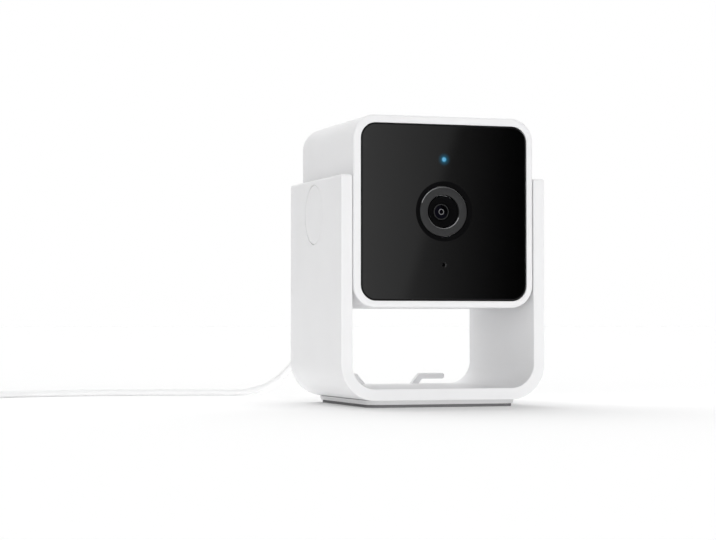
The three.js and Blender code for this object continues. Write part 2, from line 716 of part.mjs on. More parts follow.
/** Stepped hole through a side wall and its boss. */
function pivotBore(side) {
  const wallInner = HALF - HEAD_WALL;
  const tip = wallInner - BOSS_LENGTH - OVERRUN;
  return turnedOnPivot([
    [0, tip],
    [INSERT_R + HAIR_GAP, tip],
    [INSERT_R + HAIR_GAP, wallInner - HAIR_GAP],
    [PIVOT_SCREW_R + PIVOT_PLAY, wallInner - HAIR_GAP],
    [PIVOT_SCREW_R + PIVOT_PLAY, HALF + OVERRUN],
    [0, HALF + OVERRUN],
  ], side, ROUND_STEPS);
}

function housingShell() {
  const recessHalf = HALF - BEZEL_WIDTH + HAIR_GAP;
  const recess = slab(
    roundedRectangle(recessHalf, recessHalf, PANEL_CORNER + HAIR_GAP), FRONT_Y - OVERRUN, WALL_FRONT, 0, LENS_Z);
  const openingHalf = COVER_HALF + HAIR_GAP;
  const rearOpening = slab(
    roundedRectangle(openingHalf, openingHalf, COVER_CORNER + HAIR_GAP),
    COVER_INNER - OVERRUN, REAR_Y + OVERRUN, 0, LENS_Z);
  const shell = cut(headBlank(), headCavity(), recess, rearOpening);
  const posts = sensorPostPlaces.map(([x, z]) => bar(POST_R, x, z, WALL_FRONT, SENSOR_POST_END, SMALL_STEPS));
  const bosses = sides.map(([, side]) => pivotBoss(side));
  const postHoles = sensorPostPlaces.map(([x, z]) => bar(
    BOARD_SCREW_R + SCREW_PLAY, x, z, SENSOR_POST_END - BOARD_SCREW_LENGTH, SENSOR_POST_END + OVERRUN, SMALL_STEPS));
  const through = (radius, x, z) => bar(radius, x, z, WALL_FRONT - OVERRUN / 2, WALL_BACK + OVERRUN / 2, ROUND_STEPS);
  const wallHoles = [
    through(BARREL_FRONT_R + SEAT_GAP, 0, LENS_Z),
    through(PIPE_FLANGE_R + HAIR_GAP, 0, LENS_Z + LIGHT_ABOVE_LENS),
    through(MIC_POCKET_R, 0, LENS_Z - MIC_BELOW_LENS),
    ...sides.map(([, side]) => through(IR_LED_R + SEAT_GAP, side * IR_LED_X, LENS_Z)),
  ];
  const bores = sides.map(([, side]) => pivotBore(side));
  return cut(join(shell, ...posts, ...bosses), ...postHoles, ...wallHoles, ...bores);
}

// Front panel and lens

function frontPanel() {
  const half = HALF - BEZEL_WIDTH;
  const panelOutline = (inset) => roundedRectangle(half - inset, half - inset, PANEL_CORNER - inset);
  const blank = loftAlongY([
    [PANEL_FRONT, panelOutline(PANEL_EDGE)],
    [PANEL_FRONT + PANEL_EDGE, panelOutline(0)],
    [PANEL_BACK, panelOutline(0)],
  ], 0, LENS_Z);
  const opening = turned([
    [0, PANEL_FRONT - OVERRUN],
    [HALO_R, PANEL_FRONT - OVERRUN],
    [HALO_R, PANEL_FRONT],
    [LENS_OPENING_R, PANEL_FRONT + HALO_DEPTH],
    [LENS_OPENING_R, PANEL_BACK + OVERRUN],
    [0, PANEL_BACK + OVERRUN],
  ], 0, LENS_Z, LENS_STEPS);
  const through = (radius, z) => bar(radius, 0, z, PANEL_FRONT - OVERRUN, PANEL_BACK + OVERRUN, ROUND_STEPS);
  const lightHole = through(LIGHT_R + HAIR_GAP, LENS_Z + LIGHT_ABOVE_LENS);
  const micHole = through(MIC_HOLE_R, LENS_Z - MIC_BELOW_LENS);
  return cut(blank, opening, lightHole, micHole);
}

/** Adhesive frame between the panel and the front wall. */
function panelGasket() {
  const outerHalf = HALF - BEZEL_WIDTH - SEAT_GAP;
  const innerHalf = outerHalf - GASKET_WIDTH;
  const front = PANEL_BACK + HAIR_GAP;
  const back = front + GASKET_THICKNESS;
  const outer = slab(roundedRectangle(outerHalf, outerHalf, PANEL_CORNER), front, back, 0, LENS_Z);
  const inner = slab(
    roundedRectangle(innerHalf, innerHalf, PANEL_CORNER - GASKET_WIDTH), front - OVERRUN, back + OVERRUN, 0, LENS_Z);
  return cut(outer, inner);
}

function lensRing() {
  const front = PANEL_FRONT + RING_RECESS;
  const back = front + RING_THICKNESS;
  return turned([
    [RING_BORE_R, front + RING_EDGE],
    [RING_BORE_R + RING_EDGE, front],
    [RING_R - RING_EDGE, front],
    [RING_R, front + RING_EDGE],
    [RING_R, back],
    [RING_BORE_R, back],
  ], 0, LENS_Z, LENS_STEPS);
}

const CONE_END = BARREL_LIP_Y + CONE_DEPTH;

/** Lens barrel: cone at the front, seat for the front lens, threaded body and wide rear bore. */
function lensBarrel() {
  return turned([
    [BARREL_FRONT_R - BARREL_LIP, BARREL_LIP_Y],
    [BARREL_FRONT_R, BARREL_LIP_Y],
    [BARREL_FRONT_R, FLANGE_Y],
    [BARREL_R, FLANGE_Y],
    [BARREL_R, BARREL_END],
    [BARREL_BORE_R, BARREL_END],
    [BARREL_BORE_R, FLANGE_Y],
    [CONE_R, CONE_END + BARREL_SEAT],
    [CONE_R, CONE_END],
  ], 0, LENS_Z, LENS_STEPS);
}

/** A dome that bulges to the front, closed by a flat back. */
function dome(radius, bulge, edge, back, x, z, steps) {
  const front = Array.from({ length: DOME_STEPS + 1 }, (_, i) => {
    const angle = i / DOME_STEPS * Math.PI / 2;
    return [radius * Math.sin(angle), edge - bulge * Math.cos(angle)];
  });
  return turned([...front, [radius, back], [0, back]], x, z, steps);
}

/** Front lens, a dome that sits in the small end of the cone. */
function lensFrontGlass() {
  const edge = CONE_END + GLASS_DOME / 2;
  return dome(GLASS_R, GLASS_DOME, edge, edge + GLASS_THICKNESS, 0, LENS_Z, ROUND_STEPS);
}

const FILTER_Y = BARREL_END + SEAT_GAP + SLOT_PLAY;
const FILTER_BACK = FILTER_Y + FILTER_FRAME_Y;
const SENSOR_FRONT = SENSOR_BOARD_Y - SEAT_GAP - SENSOR_THICKNESS;

/** Lens holder with the barrel's bore, the filter slot across it and the sensor pocket behind. */
function lensHolder() {
  const body = block(0, LENS_Z, HOLDER_SIZE, HOLDER_SIZE, HOLDER_FRONT, HOLDER_BACK);
  const bore = bar(BARREL_R + BARREL_PLAY, 0, LENS_Z, HOLDER_FRONT - OVERRUN, BARREL_END + HAIR_GAP, LENS_STEPS);
  const lightPath = bar(LIGHT_PATH_R, 0, LENS_Z, BARREL_END, HOLDER_BACK + OVERRUN, ROUND_STEPS);
  const slot = block(
    0, LENS_Z, HOLDER_SIZE + OVERRUN, FILTER_FRAME_Z + 2 * SLOT_PLAY, FILTER_Y - SLOT_PLAY, FILTER_BACK + SLOT_PLAY);
  const pocketSize = SENSOR_SIZE + 2 * SEAT_GAP;
  const pocket = block(0, LENS_Z, pocketSize, pocketSize, SENSOR_FRONT - SEAT_GAP, HOLDER_BACK + OVERRUN);
  return cut(body, bore, lightPath, slot, pocket);
}

/** Filter frame with two windows; at rest the filter's window is on the lens axis. */
function filterFrame() {
  const middle = -FILTER_TRAVEL / 2;
  const body = block(middle, LENS_Z, FILTER_FRAME_X, FILTER_FRAME_Z, FILTER_Y, FILTER_BACK);
  const windows = sides.map(([, side]) => block(
    middle + side * FILTER_TRAVEL / 2, LENS_Z, FILTER_WINDOW_X, FILTER_WINDOW_Z,
    FILTER_Y - OVERRUN, FILTER_BACK + OVERRUN));
  return cut(body, ...windows);
}

function filterGlass() {
  const middle = (FILTER_Y + FILTER_BACK) / 2;
  const play = 2 * HAIR_GAP;
  return block(
    0, LENS_Z, FILTER_WINDOW_X - play, FILTER_WINDOW_Z - play, middle - FILTER_GLASS / 2, middle + FILTER_GLASS / 2);
}

function imageSensor() {
  return block(0, LENS_Z, SENSOR_SIZE, SENSOR_SIZE, SENSOR_FRONT, SENSOR_FRONT + SENSOR_THICKNESS);
}

function sensorBoard() {
  const back = SENSOR_BOARD_Y + BOARD_THICKNESS;
  const outline = roundedRectangle(SENSOR_BOARD / 2, SENSOR_BOARD / 2, POST_R, FINE_STEPS);
  const blank = slab(outline, SENSOR_BOARD_Y, back, 0, LENS_Z);
  const holes = sensorPostPlaces.map(([x, z]) => bar(
    BOARD_SCREW_R + SCREW_PLAY, x, z, SENSOR_BOARD_Y - OVERRUN, back + OVERRUN, SMALL_STEPS));
  return cut(blank, ...holes);
}

/** Pan-head board screw along Y; direction is +1 when its tip points to the front. */
function boardScrew([x, z], under, direction) {
  const tip = under - direction * (BOARD_THICKNESS + BOARD_SCREW_LENGTH - SEAT_GAP);
  const top = under + direction * BOARD_SCREW_HEAD;
  return turned([
    [0, tip],
    [BOARD_SCREW_R, tip],
    [BOARD_SCREW_R, under],
    [BOARD_SCREW_HEAD_R, under],
    [BOARD_SCREW_HEAD_R, top],
    [0, top],
  ], x, z, SMALL_STEPS);
}

// Front board

const FRONT_BOARD_Y = WALL_BACK + SEAT_GAP;
const FRONT_PARTS_Y = FRONT_BOARD_Y - HAIR_GAP;

function frontBoard() {
  const back = FRONT_BOARD_Y + FRONT_BOARD_THICKNESS;
  const blank = slab(
    roundedRectangle(FRONT_BOARD_X / 2, FRONT_BOARD_Z / 2, POST_R, FINE_STEPS), FRONT_BOARD_Y, back, 0, LENS_Z);
  const lensHole = bar(BARREL_R + SEAT_GAP, 0, LENS_Z, FRONT_BOARD_Y - OVERRUN, back + OVERRUN, ROUND_STEPS);
  const postHoles = sensorPostPlaces.map(([x, z]) => bar(
    POST_R + SEAT_GAP, x, z, FRONT_BOARD_Y - OVERRUN, back + OVERRUN, SMALL_STEPS));
  return cut(blank, lensHole, ...postHoles);
}

function infraredLight(side) {
  const edge = FRONT_PARTS_Y - IR_LED_LENGTH + IR_LED_DOME;
  return dome(IR_LED_R, IR_LED_DOME, edge, FRONT_PARTS_Y, side * IR_LED_X, LENS_Z, SMALL_STEPS);
}

function statusLight() {
  return block(
    0, LENS_Z + LIGHT_ABOVE_LENS, STATUS_LED_X, STATUS_LED_X, FRONT_PARTS_Y - STATUS_LED_Y, FRONT_PARTS_Y);
}

/** Light pipe from the status light to the panel's face. */
function lightPipe() {
  const back = FRONT_PARTS_Y - STATUS_LED_Y - HAIR_GAP;
  return turned([
    [0, PANEL_FRONT],
    [LIGHT_R, PANEL_FRONT],
    [LIGHT_R, back - PIPE_FLANGE],
    [PIPE_FLANGE_R, back - PIPE_FLANGE],
    [PIPE_FLANGE_R, back],
    [0, back],
  ], 0, LENS_Z + LIGHT_ABOVE_LENS, ROUND_STEPS);
}

function microphone() {
  return block(0, LENS_Z - MIC_BELOW_LENS, MIC_SIZE, MIC_SIZE, FRONT_PARTS_Y - MIC_THICKNESS, FRONT_PARTS_Y);
}

function microphoneBoot() {
  const back = FRONT_PARTS_Y - MIC_THICKNESS - HAIR_GAP;
  const front = back - BOOT_THICKNESS;
  return turned(
    [[BOOT_BORE_R, front], [BOOT_R, front], [BOOT_R, back], [BOOT_BORE_R, back]],
    0, LENS_Z - MIC_BELOW_LENS, SMALL_STEPS);
}

// Rear cover and what it carries

const BOARD_REAR = COVER_INNER - MAIN_BOARD_BEHIND;
const BOARD_FRONT = BOARD_REAR - MAIN_BOARD_THICKNESS;
const mainPostPlaces = [[-1, -1], [1, -1], [1, 1], [-1, 1]].map(
  ([sx, sz]) => [
    sx * (MAIN_BOARD_X / 2 - MAIN_POST_INSET_X),
    LENS_Z + sz * (MAIN_BOARD_Z / 2 - MAIN_POST_INSET_Z),
  ]);

/** Centres of the grille holes: a hexagon of rings round one hole. */
function grillePlaces() {
  const rows = 2 * GRILLE_RINGS + 1;
  return Array.from({ length: rows }, (_, i) => i - GRILLE_RINGS).flatMap((row) => {
    const count = rows - Math.abs(row);
    return Array.from({ length: count }, (_, k) => [
      (k - (count - 1) / 2) * GRILLE_PITCH,
      GRILLE_Z + row * GRILLE_PITCH * Math.sin(Math.PI / 3),
    ]);
  });
}

/** Snap arm with a barb that catches behind the housing's rear wall. */
function snapArm(x, up) {
  const root = COVER_INNER + COVER_WALL / 2;
  const tip = COVER_INNER - SNAP_LENGTH;
  const face = COVER_HALF - HAIR_GAP;
  const barbBack = COVER_INNER - SEAT_GAP;
  const profile = [
    [root, face - SNAP_THICKNESS],
    [root, face],
    [barbBack, face],
    [barbBack, face + SNAP_BARB],
    [barbBack - SNAP_BARB_LENGTH / 2, face + SNAP_BARB],
    [barbBack - SNAP_BARB_LENGTH, face],
    [tip, face],
    [tip, face - SNAP_THICKNESS],
  ];
  const at = (px) => profile.map(([y, reach]) => [px, y, LENS_Z + up * reach]);
  return loft([at(x - SNAP_WIDTH / 2), at(x + SNAP_WIDTH / 2)], ([, y, z]) => new THREE.Vector2(y, z));
}

function rearCover() {
  const plate = slab(roundedRectangle(COVER_HALF, COVER_HALF, COVER_CORNER), COVER_INNER, REAR_Y, 0, LENS_Z);
  const postEnd = BOARD_REAR + SEAT_GAP;
  const postRoot = COVER_INNER + COVER_WALL / 2;
  const posts = mainPostPlaces.map(([x, z]) => bar(POST_R, x, z, postEnd, postRoot, SMALL_STEPS));
  const snaps = sides.flatMap(([, side]) => [snapArm(side * SNAP_OFFSET, 1), snapArm(side * SNAP_OFFSET, -1)]);
  const postHoles = mainPostPlaces.map(([x, z]) => bar(
    BOARD_SCREW_R + SCREW_PLAY, x, z, postEnd - OVERRUN, postEnd + BOARD_SCREW_LENGTH, SMALL_STEPS));
  const grille = grillePlaces().map(([x, z]) => bar(
    GRILLE_HOLE_R, x, z, COVER_INNER - OVERRUN, REAR_Y + OVERRUN, GRILLE_HOLE_STEPS));
  const recess = slab(
    roundedRectangle(PORT_RECESS_X / 2, PORT_RECESS_Z / 2, PORT_RECESS_CORNER, FINE_STEPS),
    REAR_Y - PORT_RECESS_DEPTH, REAR_Y + OVERRUN, 0, PORT_Z);
  const slot = block(0, PORT_Z, PORT_SLOT_X, PORT_SLOT_Z, COVER_INNER - OVERRUN, REAR_Y + OVERRUN);
  const buttonHole = bar(
    BUTTON_R + BUTTON_PLAY, BUTTON_X, PORT_Z, COVER_INNER - OVERRUN, REAR_Y + OVERRUN, ROUND_STEPS);
  return cut(join(plate, ...posts, ...snaps), ...postHoles, ...grille, recess, slot, buttonHole);
}

function mainBoard() {
  const blank = slab(
    roundedRectangle(MAIN_BOARD_X / 2, MAIN_BOARD_Z / 2, POST_R, FINE_STEPS), BOARD_FRONT, BOARD_REAR, 0, LENS_Z);
  const holes = mainPostPlaces.map(([x, z]) => bar(
    BOARD_SCREW_R + SCREW_PLAY, x, z, BOARD_FRONT - OVERRUN, BOARD_REAR + OVERRUN, SMALL_STEPS));
  return cut(blank, ...holes);
}

const SHIELD_BACK = BOARD_FRONT - SEAT_GAP;
const SHIELD_FRONT = SHIELD_BACK - SHIELD_Y;
const SINK_BACK = SHIELD_FRONT - SEAT_GAP;

function shieldCan() {
  return block(0, LENS_Z + SHIELD_UP, SHIELD_X, SHIELD_Z, SHIELD_FRONT, SHIELD_BACK);
}

function heatSink() {
  const baseFront = SINK_BACK - SINK_BASE;
  const base = block(0, LENS_Z + SHIELD_UP, SINK_X, SINK_Z, baseFront, SINK_BACK);
  const pitch = (SINK_X - SINK_FIN_THICKNESS) / (SINK_FINS - 1);
  const fins = Array.from({ length: SINK_FINS }, (_, i) => block(
    -SINK_X / 2 + SINK_FIN_THICKNESS / 2 + i * pitch, LENS_Z + SHIELD_UP, SINK_FIN_THICKNESS, SINK_Z,
    baseFront - SINK_FIN, baseFront + SINK_BASE / 2));
  return join(base, ...fins);
}

function antennaFilm() {
  const top = LENS_Z + HALF - HEAD_WALL - SEAT_GAP;
  const middle = top - ANTENNA_THICKNESS / 2;
  const front = ANTENNA_BACK - ANTENNA_Y / 2;
  return block(0, middle, ANTENNA_X, ANTENNA_THICKNESS, front, front + ANTENNA_Y);
}

/** Ribbon from the sensor board to the main board, a bow that hangs down between them. */
function ribbonCable() {
  const start = SENSOR_BOARD_Y + BOARD_THICKNESS + SEAT_GAP;
  const end = BOARD_FRONT - SEAT_GAP;
  const z = LENS_Z - SENSOR_BOARD / 2 + RIBBON_FROM_EDGE;
  const line = (offset) => Array.from({ length: RIBBON_STEPS + 1 }, (_, i) => {
    const share = i / RIBBON_STEPS;
    return [start + (end - start) * share, z - RIBBON_DROP * Math.sin(Math.PI * share) ** 2 + offset];
  });
  const outline = [...line(0), ...line(RIBBON_THICKNESS).reverse()];
  const at = (x) => outline.map(([y, pz]) => [x, y, pz]);
  return loft([at(-RIBBON_WIDTH / 2), at(RIBBON_WIDTH / 2)], ([, y, pz]) => new THREE.Vector2(y, pz));
}

const GASKET_BACK = COVER_INNER - HAIR_GAP;
const SPEAKER_FRONT = GASKET_BACK - SPEAKER_GASKET - HAIR_GAP;
const SPEAKER_BACK = SPEAKER_FRONT - SPEAKER_DEPTH;

/** Speaker basket: a rim, a sloping wall and a back plate with a hole for the magnet. */
function speakerBasket() {
  const rimInner = SPEAKER_R - SPEAKER_RIM;
  return turned([
    [rimInner, SPEAKER_FRONT],
    [SPEAKER_R, SPEAKER_FRONT],
    [SPEAKER_R, SPEAKER_FRONT - SPEAKER_WALL],
    [rimInner, SPEAKER_FRONT - 2 * SPEAKER_WALL],
    [SPEAKER_BACK_R, SPEAKER_BACK],
    [MAGNET_R + SEAT_GAP, SPEAKER_BACK],
    [MAGNET_R + SEAT_GAP, SPEAKER_BACK + SPEAKER_WALL],
    [SPEAKER_BACK_R - SPEAKER_WALL / 2, SPEAKER_BACK + SPEAKER_WALL],
    [rimInner - SPEAKER_WALL, SPEAKER_FRONT - 2 * SPEAKER_WALL],
  ], 0, GRILLE_Z, ROUND_STEPS);
}

/** Speaker cone, with a dust cap in its middle. */
function speakerCone() {
  const rim = SPEAKER_R - SPEAKER_RIM - SPEAKER_WALL - HAIR_GAP;
  const front = SPEAKER_FRONT - HAIR_GAP;
  return turned([
    [0, front - CONE_SINK + CONE_RIM],
    [rim / 3, front - CONE_SINK],
    [rim, front],
    [rim, front - CONE_RIM],
    [rim / 3, front - CONE_SINK - CONE_RIM],
    [0, front - CONE_SINK - CONE_RIM],
  ], 0, GRILLE_Z, ROUND_STEPS);
}

function speakerMagnet() {
  const front = SPEAKER_BACK + SPEAKER_WALL;
  return bar(MAGNET_R, 0, GRILLE_Z, front - MAGNET_LENGTH, front, ROUND_STEPS);
}

function speakerGasket() {
  const front = GASKET_BACK - SPEAKER_GASKET;
  const bore = SPEAKER_R - SPEAKER_RIM;
  return turned(
    [[bore, front], [SPEAKER_R, front], [SPEAKER_R, GASKET_BACK], [bore, GASKET_BACK]], 0, GRILLE_Z, ROUND_STEPS);
}

/** Flattened D outline of the port, wide above and narrowed below. */
function portOutline(width, height) {
  const bevel = height / 3;
  return [
    [width / 2, height / 2],
    [-width / 2, height / 2],
    [-width / 2, -height / 2 + bevel],
    [-width / 2 + bevel, -height / 2],
    [width / 2 - bevel, -height / 2],
    [width / 2, -height / 2 + bevel],
  ];
}

const SOCKET_FRONT = BOARD_REAR + SEAT_GAP;
const SOCKET_MOUTH = SOCKET_FRONT + SOCKET_LENGTH;

function usbSocket() {
  const outer = slab(portOutline(SOCKET_X, SOCKET_Z), SOCKET_FRONT, SOCKET_MOUTH, 0, PORT_Z);
  const inner = slab(
    portOutline(SOCKET_X - 2 * SOCKET_WALL, SOCKET_Z - 2 * SOCKET_WALL),
    SOCKET_FRONT + 2 * SOCKET_WALL, SOCKET_MOUTH + OVERRUN, 0, PORT_Z);
  return cut(outer, inner);
}

const SWITCH_FRONT = BOARD_REAR + SEAT_GAP;
const SWITCH_TOP = SWITCH_FRONT + SWITCH_BODY + SWITCH_STEM;

function tactileSwitch() {
  const body = block(BUTTON_X, PORT_Z, SWITCH_SIZE, SWITCH_SIZE, SWITCH_FRONT, SWITCH_FRONT + SWITCH_BODY);
  const stem = bar(SWITCH_STEM_R, BUTTON_X, PORT_Z, SWITCH_FRONT + SWITCH_BODY / 2, SWITCH_TOP, SMALL_STEPS);
  return join(body, stem);
}

/** Setup button: cap in the cover's hole, flange behind the cover and stem over the switch. */
function setupButton() {
  const face = REAR_Y - BUTTON_SUNK;
  const flangeBack = COVER_INNER - HAIR_GAP;
  const stemEnd = SWITCH_TOP + BUTTON_TRAVEL + BUTTON_STOP_GAP;
  return turned([
    [0, stemEnd],
    [SWITCH_STEM_R, stemEnd],
    [SWITCH_STEM_R, flangeBack - BUTTON_FLANGE],
    [BUTTON_FLANGE_R, flangeBack - BUTTON_FLANGE],
    [BUTTON_FLANGE_R, flangeBack],
    [BUTTON_R, flangeBack],
    [BUTTON_R, face],
    [0, face],
  ], BUTTON_X, PORT_Z, ROUND_STEPS);
}

// Micro-USB plug

const PLUG_FRONT = REAR_Y - PORT_RECESS_DEPTH + SEAT_GAP;
const PLUG_BACK = PLUG_FRONT + PLUG_LENGTH;
const RELIEF_FRONT = PLUG_BACK + SEAT_GAP;
const RELIEF_BACK = RELIEF_FRONT + RELIEF_LENGTH;

function plugShell() {
  const back = PLUG_FRONT - HAIR_GAP;
  return slab(portOutline(PLUG_SHELL_X, PLUG_SHELL_Z), back - PLUG_SHELL_LENGTH, back, 0, PORT_Z);
}

/** Moulded plug body, drawn in over its rear part. */
function plugBody() {
  const taperStart = PLUG_BACK - PLUG_LENGTH * PLUG_TAPER_SHARE;
  const outline = (inset) => roundedRectangle(PLUG_X / 2 - inset, PLUG_Z / 2 - inset, PLUG_CORNER, FINE_STEPS);
  return loftAlongY([
    [PLUG_FRONT, outline(HAIR_GAP)],
    [PLUG_FRONT + HAIR_GAP, outline(0)],
    [taperStart, outline(0)],
    [PLUG_BACK, outline(PLUG_TAPER)],
  ], 0, PORT_Z);
}

/** Tapered strain relief with grooves between its ribs. */
function strainRelief() {
  const stations = 2 * RELIEF_RIBS;
  const profile = [[0, RELIEF_FRONT]];
  for (let i = 0; i <= stations; i += 1) {
    const y = RELIEF_FRONT + RELIEF_LENGTH * i / stations;
    const radius = RELIEF_R + (RELIEF_END_R - RELIEF_R) * i / stations;
    const previous = i % 2 === 1 ? radius : radius - RELIEF_GROOVE;
    const next = i % 2 === 1 ? radius - RELIEF_GROOVE : radius;
    if (i > 0) {
      profile.push([previous, y]);
    }
    if (i < stations) {
      profile.push([next, y]);
    }
  }
  profile.push([0, RELIEF_BACK]);
  return turned(profile, 0, PORT_Z, SMALL_STEPS);
}

// Cord

const CORD_START_Y = RELIEF_BACK + SEAT_GAP;
const COIL_LIFT = TIE_THICKNESS + SEAT_GAP; // the tie passes under the coil
const COIL_LOW_Z = COIL_LIFT + CORD_R;
const COIL_OUTER_R = COIL_INNER_R + COIL_TURNS * COIL_PITCH;
const COIL_ENTRY_Y = COIL_Y + COIL_OUTER_R;
const TAIL_R = COIL_OUTER_R + CORD_R + SEAT_GAP + USB_X / 2;
const TAIL_END_Y = COIL_Y - COIL_LEAD;

// Route of the free stretch, from the strain relief down to the table and on to the coil
const cordRoute = [
  [0, CORD_START_Y, PORT_Z],
  [0, 54.4, PORT_Z],
  [-0.5, 59, 38.9],
  [-1.9, 63, 36.6],
  [-4.1, 65.9, 32.6],
  [-6.6, 67.2, 27.6],
  [-9.2, 67.4, 22.3],
  [-11.9, 67.3, 17.3],
  [-14.5, 67.5, 12.8],
  [-17, 68.6, 9.2],
  [-19.3, 71, 6.3],
  [-21.6, 74, 4.1],
  [-24.4, 77.1, 2.5],
  [-27.6, 79.8, 1.5],
  [-31.5, 82.2, CORD_R],
  [-37, 84.3, CORD_R],
  [-47, 87.5, CORD_R],
  [-57.5, 90.4, CORD_R],
  [-68, 91.9, CORD_R],
  [-79, 91.8, CORD_R],
  [-90, 90, CORD_R],
  [-102, 86.4, CORD_R],
  [-114, 82, CORD_R],
  [-124, 79, 1.4],
  [COIL_X + COIL_LEAD + SEAT_GAP, COIL_ENTRY_Y, COIL_LOW_Z],
];

/** The free stretch: a tube along a smooth curve through the route. */
function powerCord() {
  const curve = new THREE.CatmullRomCurve3(cordRoute.map(([x, y, z]) => new THREE.Vector3(x, y, z)));
  const section = new THREE.Shape(arc(0, 0, CORD_R, 0, 2 * Math.PI, CORD_SIDES).slice(1)
    .map(([x, y]) => new THREE.Vector2(x, y)));
  const length = curve.getLength();
  const steps = Math.round(length / CORD_STEP);
  const geometry = new THREE.ExtrudeGeometry(section, { steps, extrudePath: curve, bevelEnabled: false });
  return { solid: solidFrom(geometry), length };
}

/** A share from 0 to 1, eased at both ends. */
const eased = (share) => share * share * (3 - 2 * share);

/**
 * Centreline of the coil. The radius runs in and out again at a steady rate, one way in each layer.
 * The cord climbs a layer in the half turn about each reversal. A last quarter turn goes down and out
 * to the far plug.
 */
function coilLine() {
  const at = (turns, radius, z) => {
    const angle = Math.PI / 2 + 2 * Math.PI * turns;
    return new THREE.Vector3(COIL_X + radius * Math.cos(angle), COIL_Y + radius * Math.sin(angle), z);
  };
  const total = COIL_LAYERS * COIL_TURNS;
  const wound = Array.from({ length: total * COIL_TURN_STEPS + 1 }, (_, i) => {
    const turns = i / COIL_TURN_STEPS;
    const nearest = THREE.MathUtils.clamp(Math.round(turns / COIL_TURNS), 1, COIL_LAYERS - 1);
    const inLayer = turns / COIL_TURNS % 2;
    const radius = COIL_OUTER_R - COIL_PITCH * COIL_TURNS * (inLayer < 1 ? inLayer : 2 - inLayer);
    const climb = THREE.MathUtils.clamp(2 * (turns - nearest * COIL_TURNS) + 1 / 2, 0, 1);
    return at(turns, radius, COIL_LOW_Z + COIL_PITCH * (nearest - 1 + climb));
  });
  const top = COIL_LOW_Z + COIL_PITCH * (COIL_LAYERS - 1);
  const tail = Array.from({ length: COIL_TAIL_STEPS }, (_, i) => {
    const share = (i + 1) / COIL_TAIL_STEPS;
    const radius = COIL_OUTER_R + (TAIL_R - COIL_OUTER_R) * eased(share);
    return at(total + share / 4, radius, top + (USB_Z / 2 - top) * eased(share));
  });
  const leadIn = new THREE.Vector3(COIL_X + COIL_LEAD, COIL_ENTRY_Y, COIL_LOW_Z);
  const leadOut = new THREE.Vector3(COIL_X - TAIL_R, TAIL_END_Y, USB_Z / 2);
  return [leadIn, ...wound, ...tail, leadOut];
}

/** A tube through points that never run upright: a ring of corners about each point. */
function rope(points, radius, sideCount) {
  const section = arc(0, 0, radius, 0, 2 * Math.PI, sideCount).slice(1);
  const up = new THREE.Vector3(0, 0, 1);
  const rings = points.map((point, i) => {
    const before = points[Math.max(i - 1, 0)];
    const after = points[Math.min(i + 1, points.length - 1)];
    const along = after.clone().sub(before).normalize();
    const across = new THREE.Vector3().crossVectors(along, up).normalize();
    const upright = new THREE.Vector3().crossVectors(across, along);
    return section.map(([u, v]) =>
      point.clone().addScaledVector(across, u).addScaledVector(upright, v).toArray());
  });
  return loft(rings, (_, i) => new THREE.Vector2(...section[i]));
}

/** Length of a line of points. */
const lengthOf = (points) => points.slice(1).reduce((sum, point, i) => sum + point.distanceTo(points[i]), 0);

/** Least gap between a tube and itself, over stretches at least half a turn apart along it. */
function leastGap(points, radius) {
  const nearest = new THREE.Vector3();
  let least = Infinity;
  points.forEach((point, i) => {
    for (let k = i + COIL_TURN_STEPS / 2; k + 1 < points.length; k += 1) {
      new THREE.Line3(points[k], points[k + 1]).closestPointToPoint(point, true, nearest);
      least = Math.min(least, nearest.distanceTo(point));
    }
  });
  return least - 2 * radius;
}

/** Tie round the coil's turns: a flat band bent into a rounded frame. */
function coilTie() {
  const inner = COIL_INNER_R - CORD_R - SEAT_GAP;
  const outer = COIL_OUTER_R + CORD_R + SEAT_GAP;
  const low = TIE_THICKNESS;
  const high = COIL_LIFT + 2 * CORD_R + (COIL_LAYERS - 1) * COIL_PITCH + SEAT_GAP;
  const frame = (grow) => roundedRectangle(
    (outer - inner) / 2 + grow, (high - low) / 2 + grow, TIE_CORNER + grow, FINE_STEPS);
  const at = (x, grow) => frame(grow).map(([u, v]) => [
    COIL_X + x, COIL_Y - (outer + inner) / 2 + u, (high + low) / 2 + v]);
  const flat = ([, y, z]) => new THREE.Vector2(y, z);
  const solid = loft([at(-TIE_WIDTH / 2, TIE_THICKNESS), at(TIE_WIDTH / 2, TIE_THICKNESS)], flat);
  return cut(solid, loft([at(-TIE_WIDTH, 0), at(TIE_WIDTH, 0)], flat));
}

const USB_BACK = TAIL_END_Y - SEAT_GAP;
const USB_FRONT = USB_BACK - USB_LENGTH;

/** Moulded body of the far plug, narrowed where the cord goes in. */
function usbPlugBody() {
  const outline = (inset) => roundedRectangle(USB_X / 2 - inset, USB_Z / 2 - inset, USB_CORNER, FINE_STEPS);
  return loftAlongY([
    [USB_FRONT, outline(0)],
    [USB_BACK - USB_LENGTH * USB_TAPER_SHARE, outline(0)],
    [USB_BACK, outline(USB_TAPER)],
  ], COIL_X - TAIL_R, USB_Z / 2);
}

/** Metal shell of the far plug: a flat tube, open at its mouth, with its contact block inside. */
function usbPlugShell() {
  const back = USB_FRONT - HAIR_GAP;
  const mouth = back - USB_SHELL_LENGTH;
  const x = COIL_X - TAIL_R;
  const z = USB_Z / 2;
  const outer = block(x, z, USB_SHELL_X, USB_SHELL_Z, mouth, back);
  const width = USB_SHELL_X - 2 * USB_SHELL_WALL;
  const height = USB_SHELL_Z - 2 * USB_SHELL_WALL;
  const hollow = block(x, z, width, height, mouth - OVERRUN, back - USB_SHELL_LENGTH / 2);
  const tongue = block(
    x, z - height / 4, width, height / 2 + USB_SHELL_WALL, mouth + USB_SHELL_WALL, back - USB_SHELL_LENGTH / 4);
  return join(cut(outer, hollow), tongue);
}

const model = new THREE.Group();
model.name = "pet_camera";

